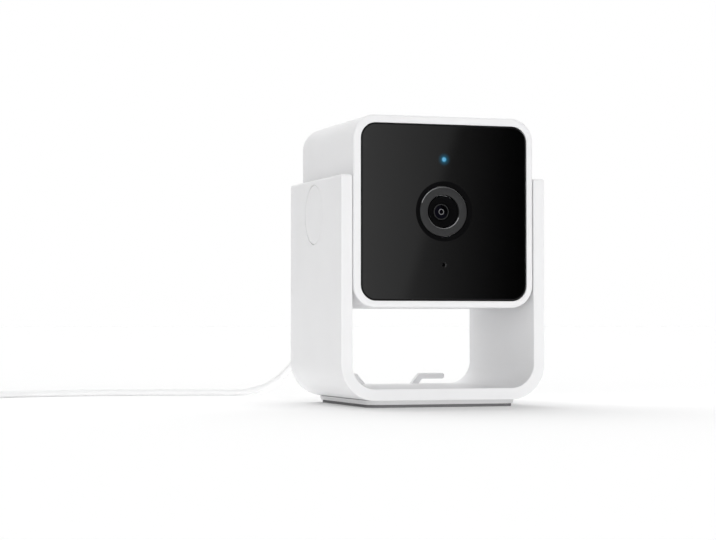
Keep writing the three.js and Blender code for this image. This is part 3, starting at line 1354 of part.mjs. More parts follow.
const stand = new THREE.Group();
stand.add(
  piece("stand_frame", standFrame(), white),
  piece("base_plate", basePlate(), steel),
  piece("base_pad", basePad(), rubber),
  ...plateScrewPlaces.map((place, i) => piece(`plate_screw_${i + 1}`, plateScrew(place), steel)),
  ...sides.flatMap(([name, side]) => [
    piece(`pivot_cap_${name}`, pivotCap(side), white),
    piece(`friction_washer_${name}`, frictionWasher(side), rubber),
  ]),
);

const head = new THREE.Group();
head.add(
  piece("housing_shell", housingShell(), white),
  piece("front_panel", frontPanel(), glossBlack),
  piece("panel_gasket", panelGasket(), rubber),
  piece("lens_ring", lensRing(), ringGrey),
  piece("lens_barrel", lensBarrel(), matteBlack),
  piece("lens_front_glass", lensFrontGlass(), glass),
  piece("lens_holder", lensHolder(), matteBlack),
  piece("image_sensor", imageSensor(), chipBlack),
  piece("sensor_board", sensorBoard(), boardGreen),
  ...sensorPostPlaces.map((place, i) => piece(
    `sensor_screw_${i + 1}`, boardScrew(place, SENSOR_BOARD_Y + BOARD_THICKNESS + HAIR_GAP, 1), steel)),
  piece("front_board", frontBoard(), boardGreen),
  ...sides.map(([name, side]) => piece(`infrared_light_${name}`, infraredLight(side), chipBlack)),
  piece("status_light", statusLight(), whiteSoft),
  piece("status_light_pipe", lightPipe(), blueLight),
  piece("microphone", microphone(), chipBlack),
  piece("microphone_boot", microphoneBoot(), rubber),
  piece("rear_cover", rearCover(), white),
  piece("main_board", mainBoard(), boardGreen),
  ...mainPostPlaces.map((place, i) => piece(
    `board_screw_${i + 1}`, boardScrew(place, BOARD_FRONT - HAIR_GAP, -1), steel)),
  piece("shield_can", shieldCan(), steel),
  piece("heat_sink", heatSink(), steel),
  piece("antenna_film", antennaFilm(), copper),
  piece("ribbon_cable", ribbonCable(), amber),
  piece("speaker_basket", speakerBasket(), chipBlack),
  piece("speaker_cone", speakerCone(), chipBlack),
  piece("speaker_magnet", speakerMagnet(), steel),
  piece("speaker_gasket", speakerGasket(), rubber),
  piece("usb_socket", usbSocket(), steel),
  piece("tactile_switch", tactileSwitch(), chipBlack),
  ...sides.flatMap(([name, side]) => [
    piece(`pivot_screw_${name}`, pivotScrew(side), steel),
    piece(`pivot_insert_${name}`, pivotInsert(side), brass),
  ]),
  piece("plug_shell", plugShell(), steel),
  piece("plug_body", plugBody(), whiteSoft),
  piece("plug_strain_relief", strainRelief(), whiteSoft),
);

const moving = new THREE.Group();
moving.add(
  piece("setup_button", setupButton(), whiteSoft),
  piece("filter_frame", filterFrame(), matteBlack),
  piece("filter_glass", filterGlass(), glass),
);

const freeCord = powerCord();
const coilPoints = coilLine();
const cord = new THREE.Group();
cord.add(
  piece("power_cord", freeCord.solid, whiteSoft),
  piece("cord_coil", rope(coilPoints, CORD_R, COIL_SIDES), whiteSoft),
  piece("coil_tie", coilTie(), rubber),
  piece("usb_plug_body", usbPlugBody(), whiteSoft),
  piece("usb_plug_shell", usbPlugShell(), steel),
);
console.log(`Coil: least gap to itself ${leastGap(coilPoints, CORD_R).toFixed(2)} mm`);
console.log(`Cord: ${(freeCord.length + lengthOf(coilPoints)).toFixed(0)} mm long in all`);

model.add(stand, head, moving, cord);

export default model;
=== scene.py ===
"""A cube-shaped pet camera between the arms of its U-shaped stand, dressed for a studio picture.

Sizes are in millimetres in the classes and become metres when a mesh is made. +X is right as seen
from the front, the lens looks along -Y, +Z is up, and the origin is on the table under the stand.
"""

import json
import logging
import math
from collections.abc import Sequence
from dataclasses import dataclass
from enum import Enum
from functools import cache

import bmesh
import bpy
import numpy as np
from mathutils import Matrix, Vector
from numpy.typing import NDArray


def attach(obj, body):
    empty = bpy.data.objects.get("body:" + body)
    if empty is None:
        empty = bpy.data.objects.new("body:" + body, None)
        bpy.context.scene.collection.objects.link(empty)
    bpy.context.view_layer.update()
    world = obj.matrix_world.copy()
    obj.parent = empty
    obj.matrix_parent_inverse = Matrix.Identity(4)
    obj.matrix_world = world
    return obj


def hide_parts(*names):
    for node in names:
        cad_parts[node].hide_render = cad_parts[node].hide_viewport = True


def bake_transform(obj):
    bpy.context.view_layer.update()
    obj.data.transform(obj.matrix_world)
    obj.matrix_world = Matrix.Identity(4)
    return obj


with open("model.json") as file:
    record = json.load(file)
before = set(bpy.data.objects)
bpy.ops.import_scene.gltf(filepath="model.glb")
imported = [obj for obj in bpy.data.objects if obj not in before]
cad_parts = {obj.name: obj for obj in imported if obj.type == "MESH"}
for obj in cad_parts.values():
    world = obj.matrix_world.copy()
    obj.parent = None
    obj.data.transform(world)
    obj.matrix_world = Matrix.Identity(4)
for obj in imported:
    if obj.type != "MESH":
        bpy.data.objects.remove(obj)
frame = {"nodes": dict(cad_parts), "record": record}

Floats = NDArray[np.float64]
Ints = NDArray[np.int64]
Point = tuple[float, float, float]
Colour = tuple[float, float, float]
Socket = bpy.types.NodeSocket
Material = bpy.types.Material
Object = bpy.types.Object
Feeds = dict[str | int, object]

MM = 0.001
QUARTER = math.pi / 2
LENS_Z = 54.35  # height of the pivots and the middle of the head
EYE_Z = 54.5  # height of the lens opening as it shows in the panel
LIGHT_Z = 69.0  # height of the status light
PORT_Z = 39.35  # height of the port, its plug and the setup button
PANEL_FRONT = -26.6
TOOL_IN, TOOL_OUT = 20.0, 30.0  # from where to where a tool cuts, past the head's front or rear
HEAD_MIDDLE = (0.0, 0.0, LENS_Z)
AT_PIVOT = (0.0, -1.0, LENS_Z)
AT_EYE = (0.0, 0.0, EYE_Z)
AT_PORT = (0.0, 0.0, PORT_Z)
SHARP = 38.0  # angle in degrees from which an edge stays sharp
FINE_SHARP = 25.0  # the same on pieces with narrow chamfers
NOISE_LOW, NOISE_HIGH = 0.3, 0.7  # most of a noise's values lie between these
PLASTIC_IOR, GLOSS_IOR, GLASS_IOR = 1.46, 1.5, 1.52
BLACK = (0.0, 0.0, 0.0)
WHITE = (1.0, 1.0, 1.0)
EVEN = (1.0, 1.0, 1.0)  # no stretch along any axis
LOG = logging.getLogger("pet_camera")


class Body(Enum):
    """Bodies of the model that a piece can ride on."""

    STAND = "stand"
    HEAD = "head"
    BUTTON = "button"


class Axis(Enum):
    """Line that a piece is turned about or runs along."""

    X = 0
    Y = 1
    Z = 2


class Change(Enum):
    """What another shape does to a piece."""

    JOIN = "UNION"
    CUT = "DIFFERENCE"


class Slot(Enum):
    """Material slots of the record."""

    WHITE = "white_plastic"
    CORD = "cord_white"
    GLOSS = "gloss_black"
    RING = "ring_grey"
    BLACK = "black_plastic"
    LENS = "lens_glass"
    LIGHT = "blue_light"
    STEEL = "steel"
    BRASS = "brass"
    RUBBER = "rubber_dark"
    BOARD = "board_green"
    CHIP = "chip_black"
    SINK = "sink_aluminium"
    FILM = "film_amber"
    MAGNET = "magnet_dark"


# Finishes


class Graph:
    """A node tree under construction."""

    def __init__(self, tree: bpy.types.NodeTree) -> None:
        """Take up a node tree."""
        self.tree = tree

    def fill(self, node: bpy.types.Node, feeds: Feeds) -> None:
        """Feed a node's inputs.

        Args:
            node: The node.
            feeds: By name or number of the input, a constant or the socket to link to it.
        """
        for key, source in feeds.items():
            if isinstance(source, Socket):
                self.tree.links.new(source, node.inputs[key])
            else:
                node.inputs[key].default_value = source

    def node(self, kind: str, feeds: Feeds, **settings: str) -> bpy.types.Node:
        """Add a node.

        Args:
            kind: Blender's name of the node type, after ShaderNode.
            feeds: What its inputs get.
            **settings: Attributes to set on it.

        Returns:
            The new node.
        """
        made = self.tree.nodes.new(f"ShaderNode{kind}")
        for key, value in settings.items():
            setattr(made, key, value)
        self.fill(made, feeds)
        return made

    def math(self, operation: str, *operands: Socket | float) -> Socket:
        """The result of an arithmetic operation, by Blender's name, on sockets or constants."""
        return self.node("Math", dict(enumerate(operands)), operation=operation).outputs[0]

    def spread(self, source: Socket, start: float, end: float, low: float = 0.0, high: float = 1.0,
               kind: str = "LINEAR") -> Socket:
        """A value moved from start..end to low..high and held at their ends; kind is Blender's name of the way."""
        feeds = {"Value": source, "From Min": start, "From Max": end, "To Min": low, "To Max": high}
        return self.node("MapRange", feeds, interpolation_type=kind).outputs["Result"]

    def blend(self, share: Socket, first: Socket, second: Socket) -> Socket:
        """The first value where the share is 0, the second where it is 1."""
        return self.node("Mix", {"Factor": share, "A": first, "B": second}).outputs["Result"]

    def seen(self) -> Socket:
        """Whether a ray looks directly, in gloss or through glass.

        Returns:
            1 for such a ray, 0 for one that only carries light.
        """
        path = self.node("LightPath", {}).outputs
        either = self.math("MAXIMUM", path["Is Camera Ray"], path["Is Glossy Ray"])
        return self.math("MAXIMUM", either, path["Is Transmission Ray"])


class Shader(Graph):
    """A material under construction: its Principled shader and the nodes that feed it."""

    def __init__(self, name: str, **values: object) -> None:
        """Start a material.

        Args:
            name: The material's name.
            **values: Constants on the Principled shader, as for dress.
        """
        self.material = bpy.data.materials.new(name)
        self.material.use_nodes = True
        super().__init__(self.material.node_tree)
        self.dress(**values)

    def dress(self, **feeds: object) -> Material:
        """Feed the Principled shader.

        Args:
            **feeds: What its inputs get; an underscore in an input's name stands for a space.

        Returns:
            The material.
        """
        spaced = {key.replace("_", " "): value for key, value in feeds.items()}
        self.fill(self.tree.nodes["Principled BSDF"], spaced)
        return self.material

    def place(self, scale: Point = EVEN) -> Socket:
        """Object coordinates, stretched by a factor along each axis."""
        coordinates = self.node("TexCoord", {}).outputs["Object"]
        return self.node("Mapping", {"Vector": coordinates, "Scale": scale}).outputs["Vector"]

    def distance(self, centre: Point = (0.0, 0.0, 0.0)) -> Socket:
        """Distance in metres from a place that is given in millimetres."""
        feeds = {0: self.place(), 1: [value * MM for value in centre]}
        return self.node("VectorMath", feeds, operation="DISTANCE").outputs["Value"]

    def noise(self, size: float, detail: float, scale: Point = EVEN) -> Socket:
        """Noise from about 0 to 1, with features of a size in mm, octaves of detail and a stretch along each axis."""
        feeds = {"Vector": self.place(scale), "Scale": 1.0 / (size * MM), "Detail": detail}
        return self.node("TexNoise", feeds).outputs["Fac"]

    def ramp(self, source: Socket, *stops: tuple[float, Colour]) -> Socket:
        """Colours along a grey value.

        Args:
            source: The grey value.
            *stops: Place and colour of each stop.

        Returns:
            The colour.
        """
        made = self.node("ValToRGB", {"Fac": source})
        elements = made.color_ramp.elements
        while len(elements) < len(stops):
            elements.new(0.5)
        for element, (place, colour) in zip(elements, stops, strict=True):
            element.position = place
            element.color = (*colour, 1.0)
        return made.outputs["Color"]

    def mottled(self, noise: Socket, colour: Colour, low: float, high: float) -> Socket:
        """A colour that a noise takes from low to high times its value."""
        return self.ramp(noise, (NOISE_LOW, shade(colour, low)), (NOISE_HIGH, shade(colour, high)))

    def varied(self, noise: Socket, low: float, high: float) -> Socket:
        """A value that a noise takes from low to high."""
        return self.spread(noise, NOISE_LOW, NOISE_HIGH, low, high)

    def relief(self, height: Socket, depth: float) -> Socket:
        """The normal of a relief that is depth millimetres deep where its height goes from 0 to 1."""
        return self.node("Bump", {"Strength": 1.0, "Distance": depth * MM, "Height": height}).outputs["Normal"]


def shade(colour: Colour, factor: float) -> Colour:
    """A colour times a factor, kept below 1."""
    return tuple(min(channel * factor, 1.0) for channel in colour)


@dataclass(frozen=True)
class Finish:
    """A finish with its name and main colour."""

    name: str
    colour: Colour

    def make(self) -> Material:
        """Build the material."""
        raise NotImplementedError


@dataclass(frozen=True)
class Moulded(Finish):
    """Plastic or rubber from a mould: slow drift of tone, fine spark texture and varied sheen."""

    roughness: float
    grain: float = 0.22  # width of the mould texture's features, mm
    depth: float = 0.004  # height of the mould texture, mm
    specular: float = 0.5
    subsurface: float = 0.0

    def make(self) -> Material:
        """Build the material.

        Returns:
            The material.
        """
        shader = Shader(self.name, IOR=PLASTIC_IOR, Specular_IOR_Level=self.specular,
                        Subsurface_Weight=self.subsurface, Subsurface_Radius=(1.0, 0.95, 0.9), Subsurface_Scale=0.0012)
        return shader.dress(
            Base_Color=shader.mottled(shader.noise(19.0, 3.0), self.colour, 0.988, 1.012),
            Roughness=shader.varied(shader.noise(4.5, 4.0), self.roughness * 0.93, self.roughness * 1.07),
            Normal=shader.relief(shader.noise(self.grain, 3.0), self.depth),
        )


@dataclass(frozen=True)
class Smoked(Finish):
    """Polished smoked panel: near-black body, clear gloss and light that bleeds round the status light."""

    light: Colour
    centre: Point  # of the status light, mm
    reach: float  # radius where the bleeding light has faded, mm

    def make(self) -> Material:
        """Build the material; the bleeding light falls off smoothly with distance from its centre.

        Returns:
            The material.
        """
        shader = Shader(self.name, IOR=GLOSS_IOR, Emission_Strength=1.0)
        haze = shader.noise(3.0, 4.0)
        away = shader.spread(shader.distance(self.centre), 0.0, self.reach * MM, kind="SMOOTHERSTEP")
        return shader.dress(
            Base_Color=shader.mottled(haze, self.colour, 0.92, 1.08), Roughness=shader.varied(haze, 0.025, 0.035),
            Emission_Color=shader.ramp(away, (0.0, self.light), (1.0, BLACK)),
        )


@dataclass(frozen=True)
class Metal(Finish):
    """Metal with a drawn grain along one axis."""

    roughness: float
    stretch: Point = (1.0, 0.04, 1.0)  # small along the grain
    metallic: float = 1.0

    def make(self) -> Material:
        """Build the material.

        Returns:
            The material.
        """
        shader = Shader(self.name, Metallic=self.metallic)
        grain = shader.noise(0.12, 3.0, self.stretch)
        return shader.dress(
            Base_Color=shader.mottled(grain, self.colour, 0.93, 1.05),
            Roughness=shader.varied(grain, self.roughness * 0.8, self.roughness * 1.2),
            Normal=shader.relief(grain, 0.0015),
        )


@dataclass(frozen=True)
class Coated(Finish):
    """Lens glass: a clear body whose coating tints what it reflects from violet to green."""

    tint: Colour

    def make(self) -> Material:
        """Build the material; the coating's colour follows the angle of view through Layer Weight.

        Returns:
            The material.
        """
        shader = Shader(self.name, IOR=GLASS_IOR, Roughness=0.02, Specular_IOR_Level=0.06)
        facing = shader.node("LayerWeight", {"Blend": 0.35}).outputs["Facing"]
        return shader.dress(
            Specular_Tint=shader.ramp(facing, (0.0, self.tint), (0.6, (0.5, 0.75, 0.6)), (1.0, (0.9, 0.9, 0.9))),
            Base_Color=shader.mottled(shader.noise(1.2, 2.0), self.colour, 0.8, 1.2),
        )


@dataclass(frozen=True)
class Lit(Finish):
    """Clear light pipe with the light behind it: bright in the middle, deeper blue at its rim."""

    rim: Colour
    centre: Point
    radius: float

    def make(self) -> Material:
        """Build the material; its light falls off smoothly from the middle to the rim.

        Returns:
            The material.
        """
        shader = Shader(self.name, IOR=GLOSS_IOR, Roughness=0.15, Emission_Strength=1.0)
        away = shader.spread(shader.distance(self.centre), 0.0, self.radius * MM)
        glow = ((0.0, shade(self.colour, 0.6)), (0.25, self.colour), (0.6, self.colour), (0.9, self.rim))
        return shader.dress(
            Emission_Color=shader.ramp(away, *glow),
            Base_Color=shader.ramp(away, (0.0, self.rim), (1.0, shade(self.rim, 0.4))),
        )


@dataclass(frozen=True)
class Circuit(Finish):
    """Circuit board: solder mask with fine tracks under it."""

    track: Colour

    def make(self) -> Material:
        """Build the material; tracks are the cell borders of a fine square-distance pattern.

        Returns:
            The material.
        """
        shader = Shader(self.name, IOR=GLOSS_IOR, Roughness=0.35)
        feeds = {"Vector": shader.place(), "Scale": 1.0 / (2.2 * MM)}
        cells = shader.node("TexVoronoi", feeds, distance="CHEBYCHEV").outputs["Distance"]
        return shader.dress(
            Base_Color=shader.ramp(cells, (0.38, self.colour), (0.5, self.track)), Normal=shader.relief(cells, 0.02),
        )


AT_LIGHT = (0.0, -26.5, LIGHT_Z)
FINISHES: dict[Slot, Finish] = {
    Slot.WHITE: Moulded("white moulding", (0.865, 0.865, 0.872), 0.42, subsurface=0.06),
    Slot.CORD: Moulded("white cord sheath", (0.95, 0.95, 0.952), 0.5, grain=0.35, depth=0.006),
    Slot.GLOSS: Smoked("smoked black panel", (0.0009, 0.0009, 0.001), (0.003, 0.072, 0.125), AT_LIGHT, 2.2),
    Slot.RING: Moulded("dark grey lens ring", (0.017, 0.0174, 0.0182), 0.48, grain=0.12, depth=0.003),
    Slot.BLACK: Moulded("black moulding", (0.0022, 0.0022, 0.0025), 0.65, grain=0.15, specular=0.05),
    Slot.LENS: Coated("coated lens glass", (0.0012, 0.0012, 0.0016), (0.45, 0.4, 0.9)),
    Slot.LIGHT: Lit("lit blue light pipe", (0.1, 0.32, 0.52), (0.01, 0.1, 0.17), AT_LIGHT, 0.75),
    Slot.STEEL: Metal("plated steel", (0.78, 0.78, 0.79), 0.38),
    Slot.BRASS: Metal("turned brass", (0.6, 0.45, 0.18), 0.3),
    Slot.RUBBER: Moulded("dark rubber", (0.012, 0.012, 0.013), 0.75, grain=0.3, depth=0.012),
    Slot.BOARD: Circuit("green circuit board", (0.01, 0.09, 0.035), (0.03, 0.16, 0.07)),
    Slot.CHIP: Moulded("chip package", (0.014, 0.014, 0.016), 0.5, grain=0.1),
    Slot.SINK: Metal("extruded aluminium", (0.7, 0.7, 0.72), 0.35, (1.0, 1.0, 0.04)),
    Slot.FILM: Moulded("amber film", (0.36, 0.11, 0.02), 0.3, grain=0.6),
    Slot.MAGNET: Metal("plated magnet", (0.2, 0.2, 0.21), 0.35, EVEN),
}


@cache
def material(slot: Slot) -> Material:
    """The material of a slot, built when it is first asked for."""
    return FINISHES[slot].make()


def dress_nodes() -> None:
    """Give every CAD node the finish of its slot."""
    for entry in frame["record"]["subparts"]:
        node = frame["nodes"][entry["node"]]
        node.data.materials.clear()
        node.data.materials.append(material(Slot(entry["material_slot"])))


# Surfaces


@dataclass
class Shape:
    """Points in millimetres and the faces between them."""

    points: Floats
    faces: list[Sequence[int]]

    def __add__(self, other: "Shape") -> "Shape":
        """Both shapes side by side."""
        shifted = [[corner + len(self.points) for corner in face] for face in other.faces]
        return Shape(np.vstack([self.points, other.points]), [*self.faces, *shifted])


def beside(*values: Floats | float) -> Floats:
    """Values, stretched to a common shape, side by side along a last axis."""
    return np.stack(np.broadcast_arrays(*values), axis=-1)


def unit(vectors: Floats) -> Floats:
    """Vectors along the last axis, each made one long."""
    return vectors / np.linalg.norm(vectors, axis=-1, keepdims=True)


def skin(rings: Floats, loop: bool = False) -> Shape:
    """Surface over rings of points, closed by a flat face at each end or joined end to end.

    Args:
        rings: Points as rings x points x 3.
        loop: Whether the last ring joins the first, instead of both being capped.

    Returns:
        The closed shape, with four-cornered faces between neighbouring rings.
    """
    rows, columns = rings.shape[:2]
    i, j = np.arange(rows if loop else rows - 1)[:, None], np.arange(columns)[None, :]
    i_next, j_next = (i + 1) % rows, (j + 1) % columns
    corners = (i * columns + j, i * columns + j_next, i_next * columns + j_next, i_next * columns + j)
    faces: list[Sequence[int]] = beside(*corners).reshape(-1, 4).tolist()
    if not loop:
        faces.append(list(range(columns))[::-1])
        faces.append(list(range((rows - 1) * columns, rows * columns)))
    return Shape(rings.reshape(-1, 3), faces)


def rounded(points: Sequence[Sequence[float]], closed: bool = False, steps: int = 6) -> Floats:
    """A line of points whose corners are rounded.

    At each corner the arc touches both sides, so it starts at radius / tan(half the corner's angle)
    from the corner, and its points turn about the arc's centre in equal steps.

    Args:
        points: Corners of the line, each with its radius as a third value where it isn't sharp.
        closed: Whether the line closes on itself.
        steps: Facets of each arc.

    Returns:
        The points of the rounded line.
    """
    corners = np.array([point[:2] for point in points], float)
    share = np.linspace(0.0, 1.0, steps + 1)[:, None]
    result: list[Floats] = []
    for k, (here, point) in enumerate(zip(corners, points, strict=True)):
        if len(point) < 3 or (not closed and k in (0, len(corners) - 1)):
            result.append(here[None])
            continue
        back, ahead = unit(corners[k - 1] - here), unit(corners[(k + 1) % len(corners)] - here)
        half = math.acos(float(np.clip(back @ ahead, -1.0, 1.0))) / 2
        centre = here + unit(back + ahead) * point[2] / math.sin(half)
        first, last = (here + way * point[2] / math.tan(half) - centre for way in (back, ahead))
        sweep = math.pi - 2 * half
        result.append(centre + (first * np.sin((1 - share) * sweep) + last * np.sin(share * sweep)) / math.sin(sweep))
    return np.vstack(result)


def placed(u: Floats, v: Floats, along: Floats, centre: Point, axis: Axis) -> Floats:
    """Points from places along an axis and across it.

    Args:
        u: Places on the first of the two other axes.
        v: Places on the second.
        along: Places along the axis.
        centre: Where all of them start.
        axis: The axis.

    Returns:
        The points.
    """
    order = {Axis.X: (along, u, v), Axis.Y: (u, along, v), Axis.Z: (u, v, along)}[axis]
    return beside(*order) + centre


def turned(profile: Floats | Sequence[Sequence[float]], centre: Point, axis: Axis, steps: int = 96,
           closed: bool = False) -> Shape:
    """Solid of revolution: each profile point (radius, place along the axis) runs round the axis.

    Args:
        profile: Radius and place of each point; an open profile starts and ends on the axis.
        centre: A point on the axis.
        axis: Direction of the axis.
        steps: Facets round it.
        closed: Whether the profile closes on itself, as a ring's does.

    Returns:
        The shape.
    """
    angle = np.arange(steps) / steps * 2 * math.pi
    profile = np.asarray(profile, float)
    radius = profile[:, :1]
    return skin(placed(radius * np.cos(angle), radius * np.sin(angle), profile[:, 1:], centre, axis), closed)


def corner_turn(steps: int) -> tuple[Ints, Floats]:
    """Number of the corner, and the angle on its quarter circle, of each point round four corners."""
    quarter = np.repeat(np.arange(4), steps + 1)
    return quarter, (quarter + np.tile(np.linspace(0.0, 1.0, steps + 1), 4)) * QUARTER


def lofted(stations: Floats | Sequence[Sequence[float]], centre: Point, axis: Axis, steps: int = 14,
           loop: bool = False) -> Shape:
    """Loft of rounded rectangles along an axis.

    Each corner is a quarter circle about a centre that lies one radius inside both sides.

    Args:
        stations: Both half sizes, corner radius and place along the axis of each rectangle.
        centre: Where the rectangles' middle and the places start.
        axis: Direction of the loft.
        steps: Facets of each corner.
        loop: Whether the last rectangle joins the first, as on a hollow shell.

    Returns:
        The shape.
    """
    quarter, angle = corner_turn(steps)
    half_u, half_v, radius, along = np.asarray(stations, float).T[..., None]
    u = np.array([1, -1, -1, 1])[quarter] * (half_u - radius) + radius * np.cos(angle)
    v = np.array([1, 1, -1, -1])[quarter] * (half_v - radius) + radius * np.sin(angle)
    return skin(placed(u, v, along, centre, axis), loop)


def slab(half_u: float, half_v: float, corner: float, edge: Floats, centre: Point, axis: Axis, least: float) -> Shape:
    """Flat block with round corners, whose edge profile is carried round it.

    Args:
        half_u: Half its first size.
        half_v: Half its second size.
        corner: Radius of its corners.
        edge: Place across from the rim, negative inwards, and place along the axis.
        centre: Where its middle and the places start.
        axis: Direction of its thickness.
        least: Smallest corner radius where the profile is drawn in.

    Returns:
        The shape.
    """
    drawn, along = edge.T
    return lofted(beside(half_u + drawn, half_v + drawn, np.maximum(corner + drawn, least), along), centre, axis)


def block(low: Point, high: Point) -> Shape:
    """A box between two corners."""
    points = np.array([(x, y, z) for x in (low[0], high[0]) for y in (low[1], high[1]) for z in (low[2], high[2])])
    return Shape(points, [(0, 1, 3, 2), (4, 6, 7, 5), (0, 4, 5, 1), (2, 3, 7, 6), (0, 2, 6, 4), (1, 5, 7, 3)])


def soft_end(away: Floats, radius: float) -> Floats:
    """How far a quarter circle of a radius draws a side in, by the distance from the side's end."""
    return radius * (1 - np.sqrt(1 - np.clip(1 - away / radius, 0.0, 1.0) ** 2))


def settle(mesh: bpy.types.Mesh, sharp: float) -> None:
    """Merge doubles, turn the faces outwards and shade smooth.

    Args:
        mesh: The mesh.
        sharp: Angle in degrees from which an edge stays sharp.
    """
    work = bmesh.new()
    work.from_mesh(mesh)
    bmesh.ops.remove_doubles(work, verts=work.verts, dist=2e-7)
    bmesh.ops.dissolve_degenerate(work, edges=work.edges, dist=1e-7)
    bmesh.ops.recalc_face_normals(work, faces=work.faces)
    work.to_mesh(mesh)
    work.free()
    mesh.polygons.foreach_set("use_smooth", np.ones(len(mesh.polygons), bool))
    mesh.set_sharp_from_angle(angle=math.radians(sharp))
    mesh.update()


def mesh_object(name: str, shape: Shape, sharp: float = SHARP) -> Object:
    """An object at the origin whose mesh has a shape's points, in metres.

    Args:
        name: The piece's name.
        shape: The shape.
        sharp: Angle in degrees from which an edge stays sharp.

    Returns:
        The object.
    """
    mesh = bpy.data.meshes.new(name)
    mesh.from_pydata((shape.points * MM).tolist(), [], shape.faces)
    settle(mesh, sharp)
    made = bpy.data.objects.new(name, mesh)
    bpy.context.scene.collection.objects.link(made)
    return made


def combine(target: Object, change: Change, tool: Shape, sharp: float) -> None:
    """Join a shape to an object, or cut it out of it, and keep the resulting mesh.

    Args:
        target: The object.
        change: Whether to join or to cut.
        tool: The other shape.
        sharp: Angle in degrees from which an edge stays sharp.
    """
    other = mesh_object(f"{target.name}_tool", tool)
    modifier = target.modifiers.new("combine", "BOOLEAN")
    modifier.operation = change.value
    modifier.solver = "EXACT"
    modifier.object = other
    graph = bpy.context.evaluated_depsgraph_get()
    result = bpy.data.meshes.new_from_object(target.evaluated_get(graph))
    target.modifiers.clear()
    target.data = result
    bpy.data.objects.remove(other)
    settle(result, sharp)


def face_vectors(piece: Object) -> tuple[Floats, Floats]:
    """Where a piece's faces are and which way they face.

    Args:
        piece: The piece.

    Returns:
        Their centres in millimetres and their normals.
    """
    centres, normals = np.empty((2, len(piece.data.polygons), 3))
    piece.data.polygons.foreach_get("center", centres.ravel())
    piece.data.polygons.foreach_get("normal", normals.ravel())
    return centres / MM, normals


def paint(piece: Object, numbers: Ints, *finishes: Material) -> None:
    """Give some faces finishes of their own.

    Args:
        piece: The piece.
        numbers: For each face 0, or the number of its new finish.
        *finishes: The new finishes, from 1 on.
    """
    for finish in finishes:
        piece.data.materials.append(finish)
    piece.data.polygons.foreach_set("material_index", numbers.astype(np.int32))


def make_piece(name: str, shape: Shape, slot: Slot, body: Body, *nodes: str, sharp: float = SHARP,
               changes: Sequence[tuple[Change, Shape]] = (), finish: Finish | None = None) -> Object:
    """Make a piece, even out its shading, give it its finish, attach it to its body and hide the CAD nodes that it
    stands for.

    Args:
        name: Its name.
        shape: Its shape.
        slot: Its material slot.
        body: The body that it rides on.
        *nodes: CAD nodes that it stands for.
        sharp: Angle in degrees from which an edge stays sharp.
        changes: Shapes to join to it or to cut out of it, in order.
        finish: Its finish where it isn't that of its slot.

    Returns:
        The piece.
    """
    made = mesh_object(name, shape, sharp)
    for change, tool in changes:
        combine(made, change, tool, sharp)
    made.modifiers.new("even shading", "WEIGHTED_NORMAL").keep_sharp = True
    made.data.materials.clear()
    made.data.materials.append(finish.make() if finish else material(slot))
    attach(made, body.value)
    if nodes:
        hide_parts(*nodes)
    LOG.info("%s: %d faces", name, len(made.data.polygons))
    return made


# Stand


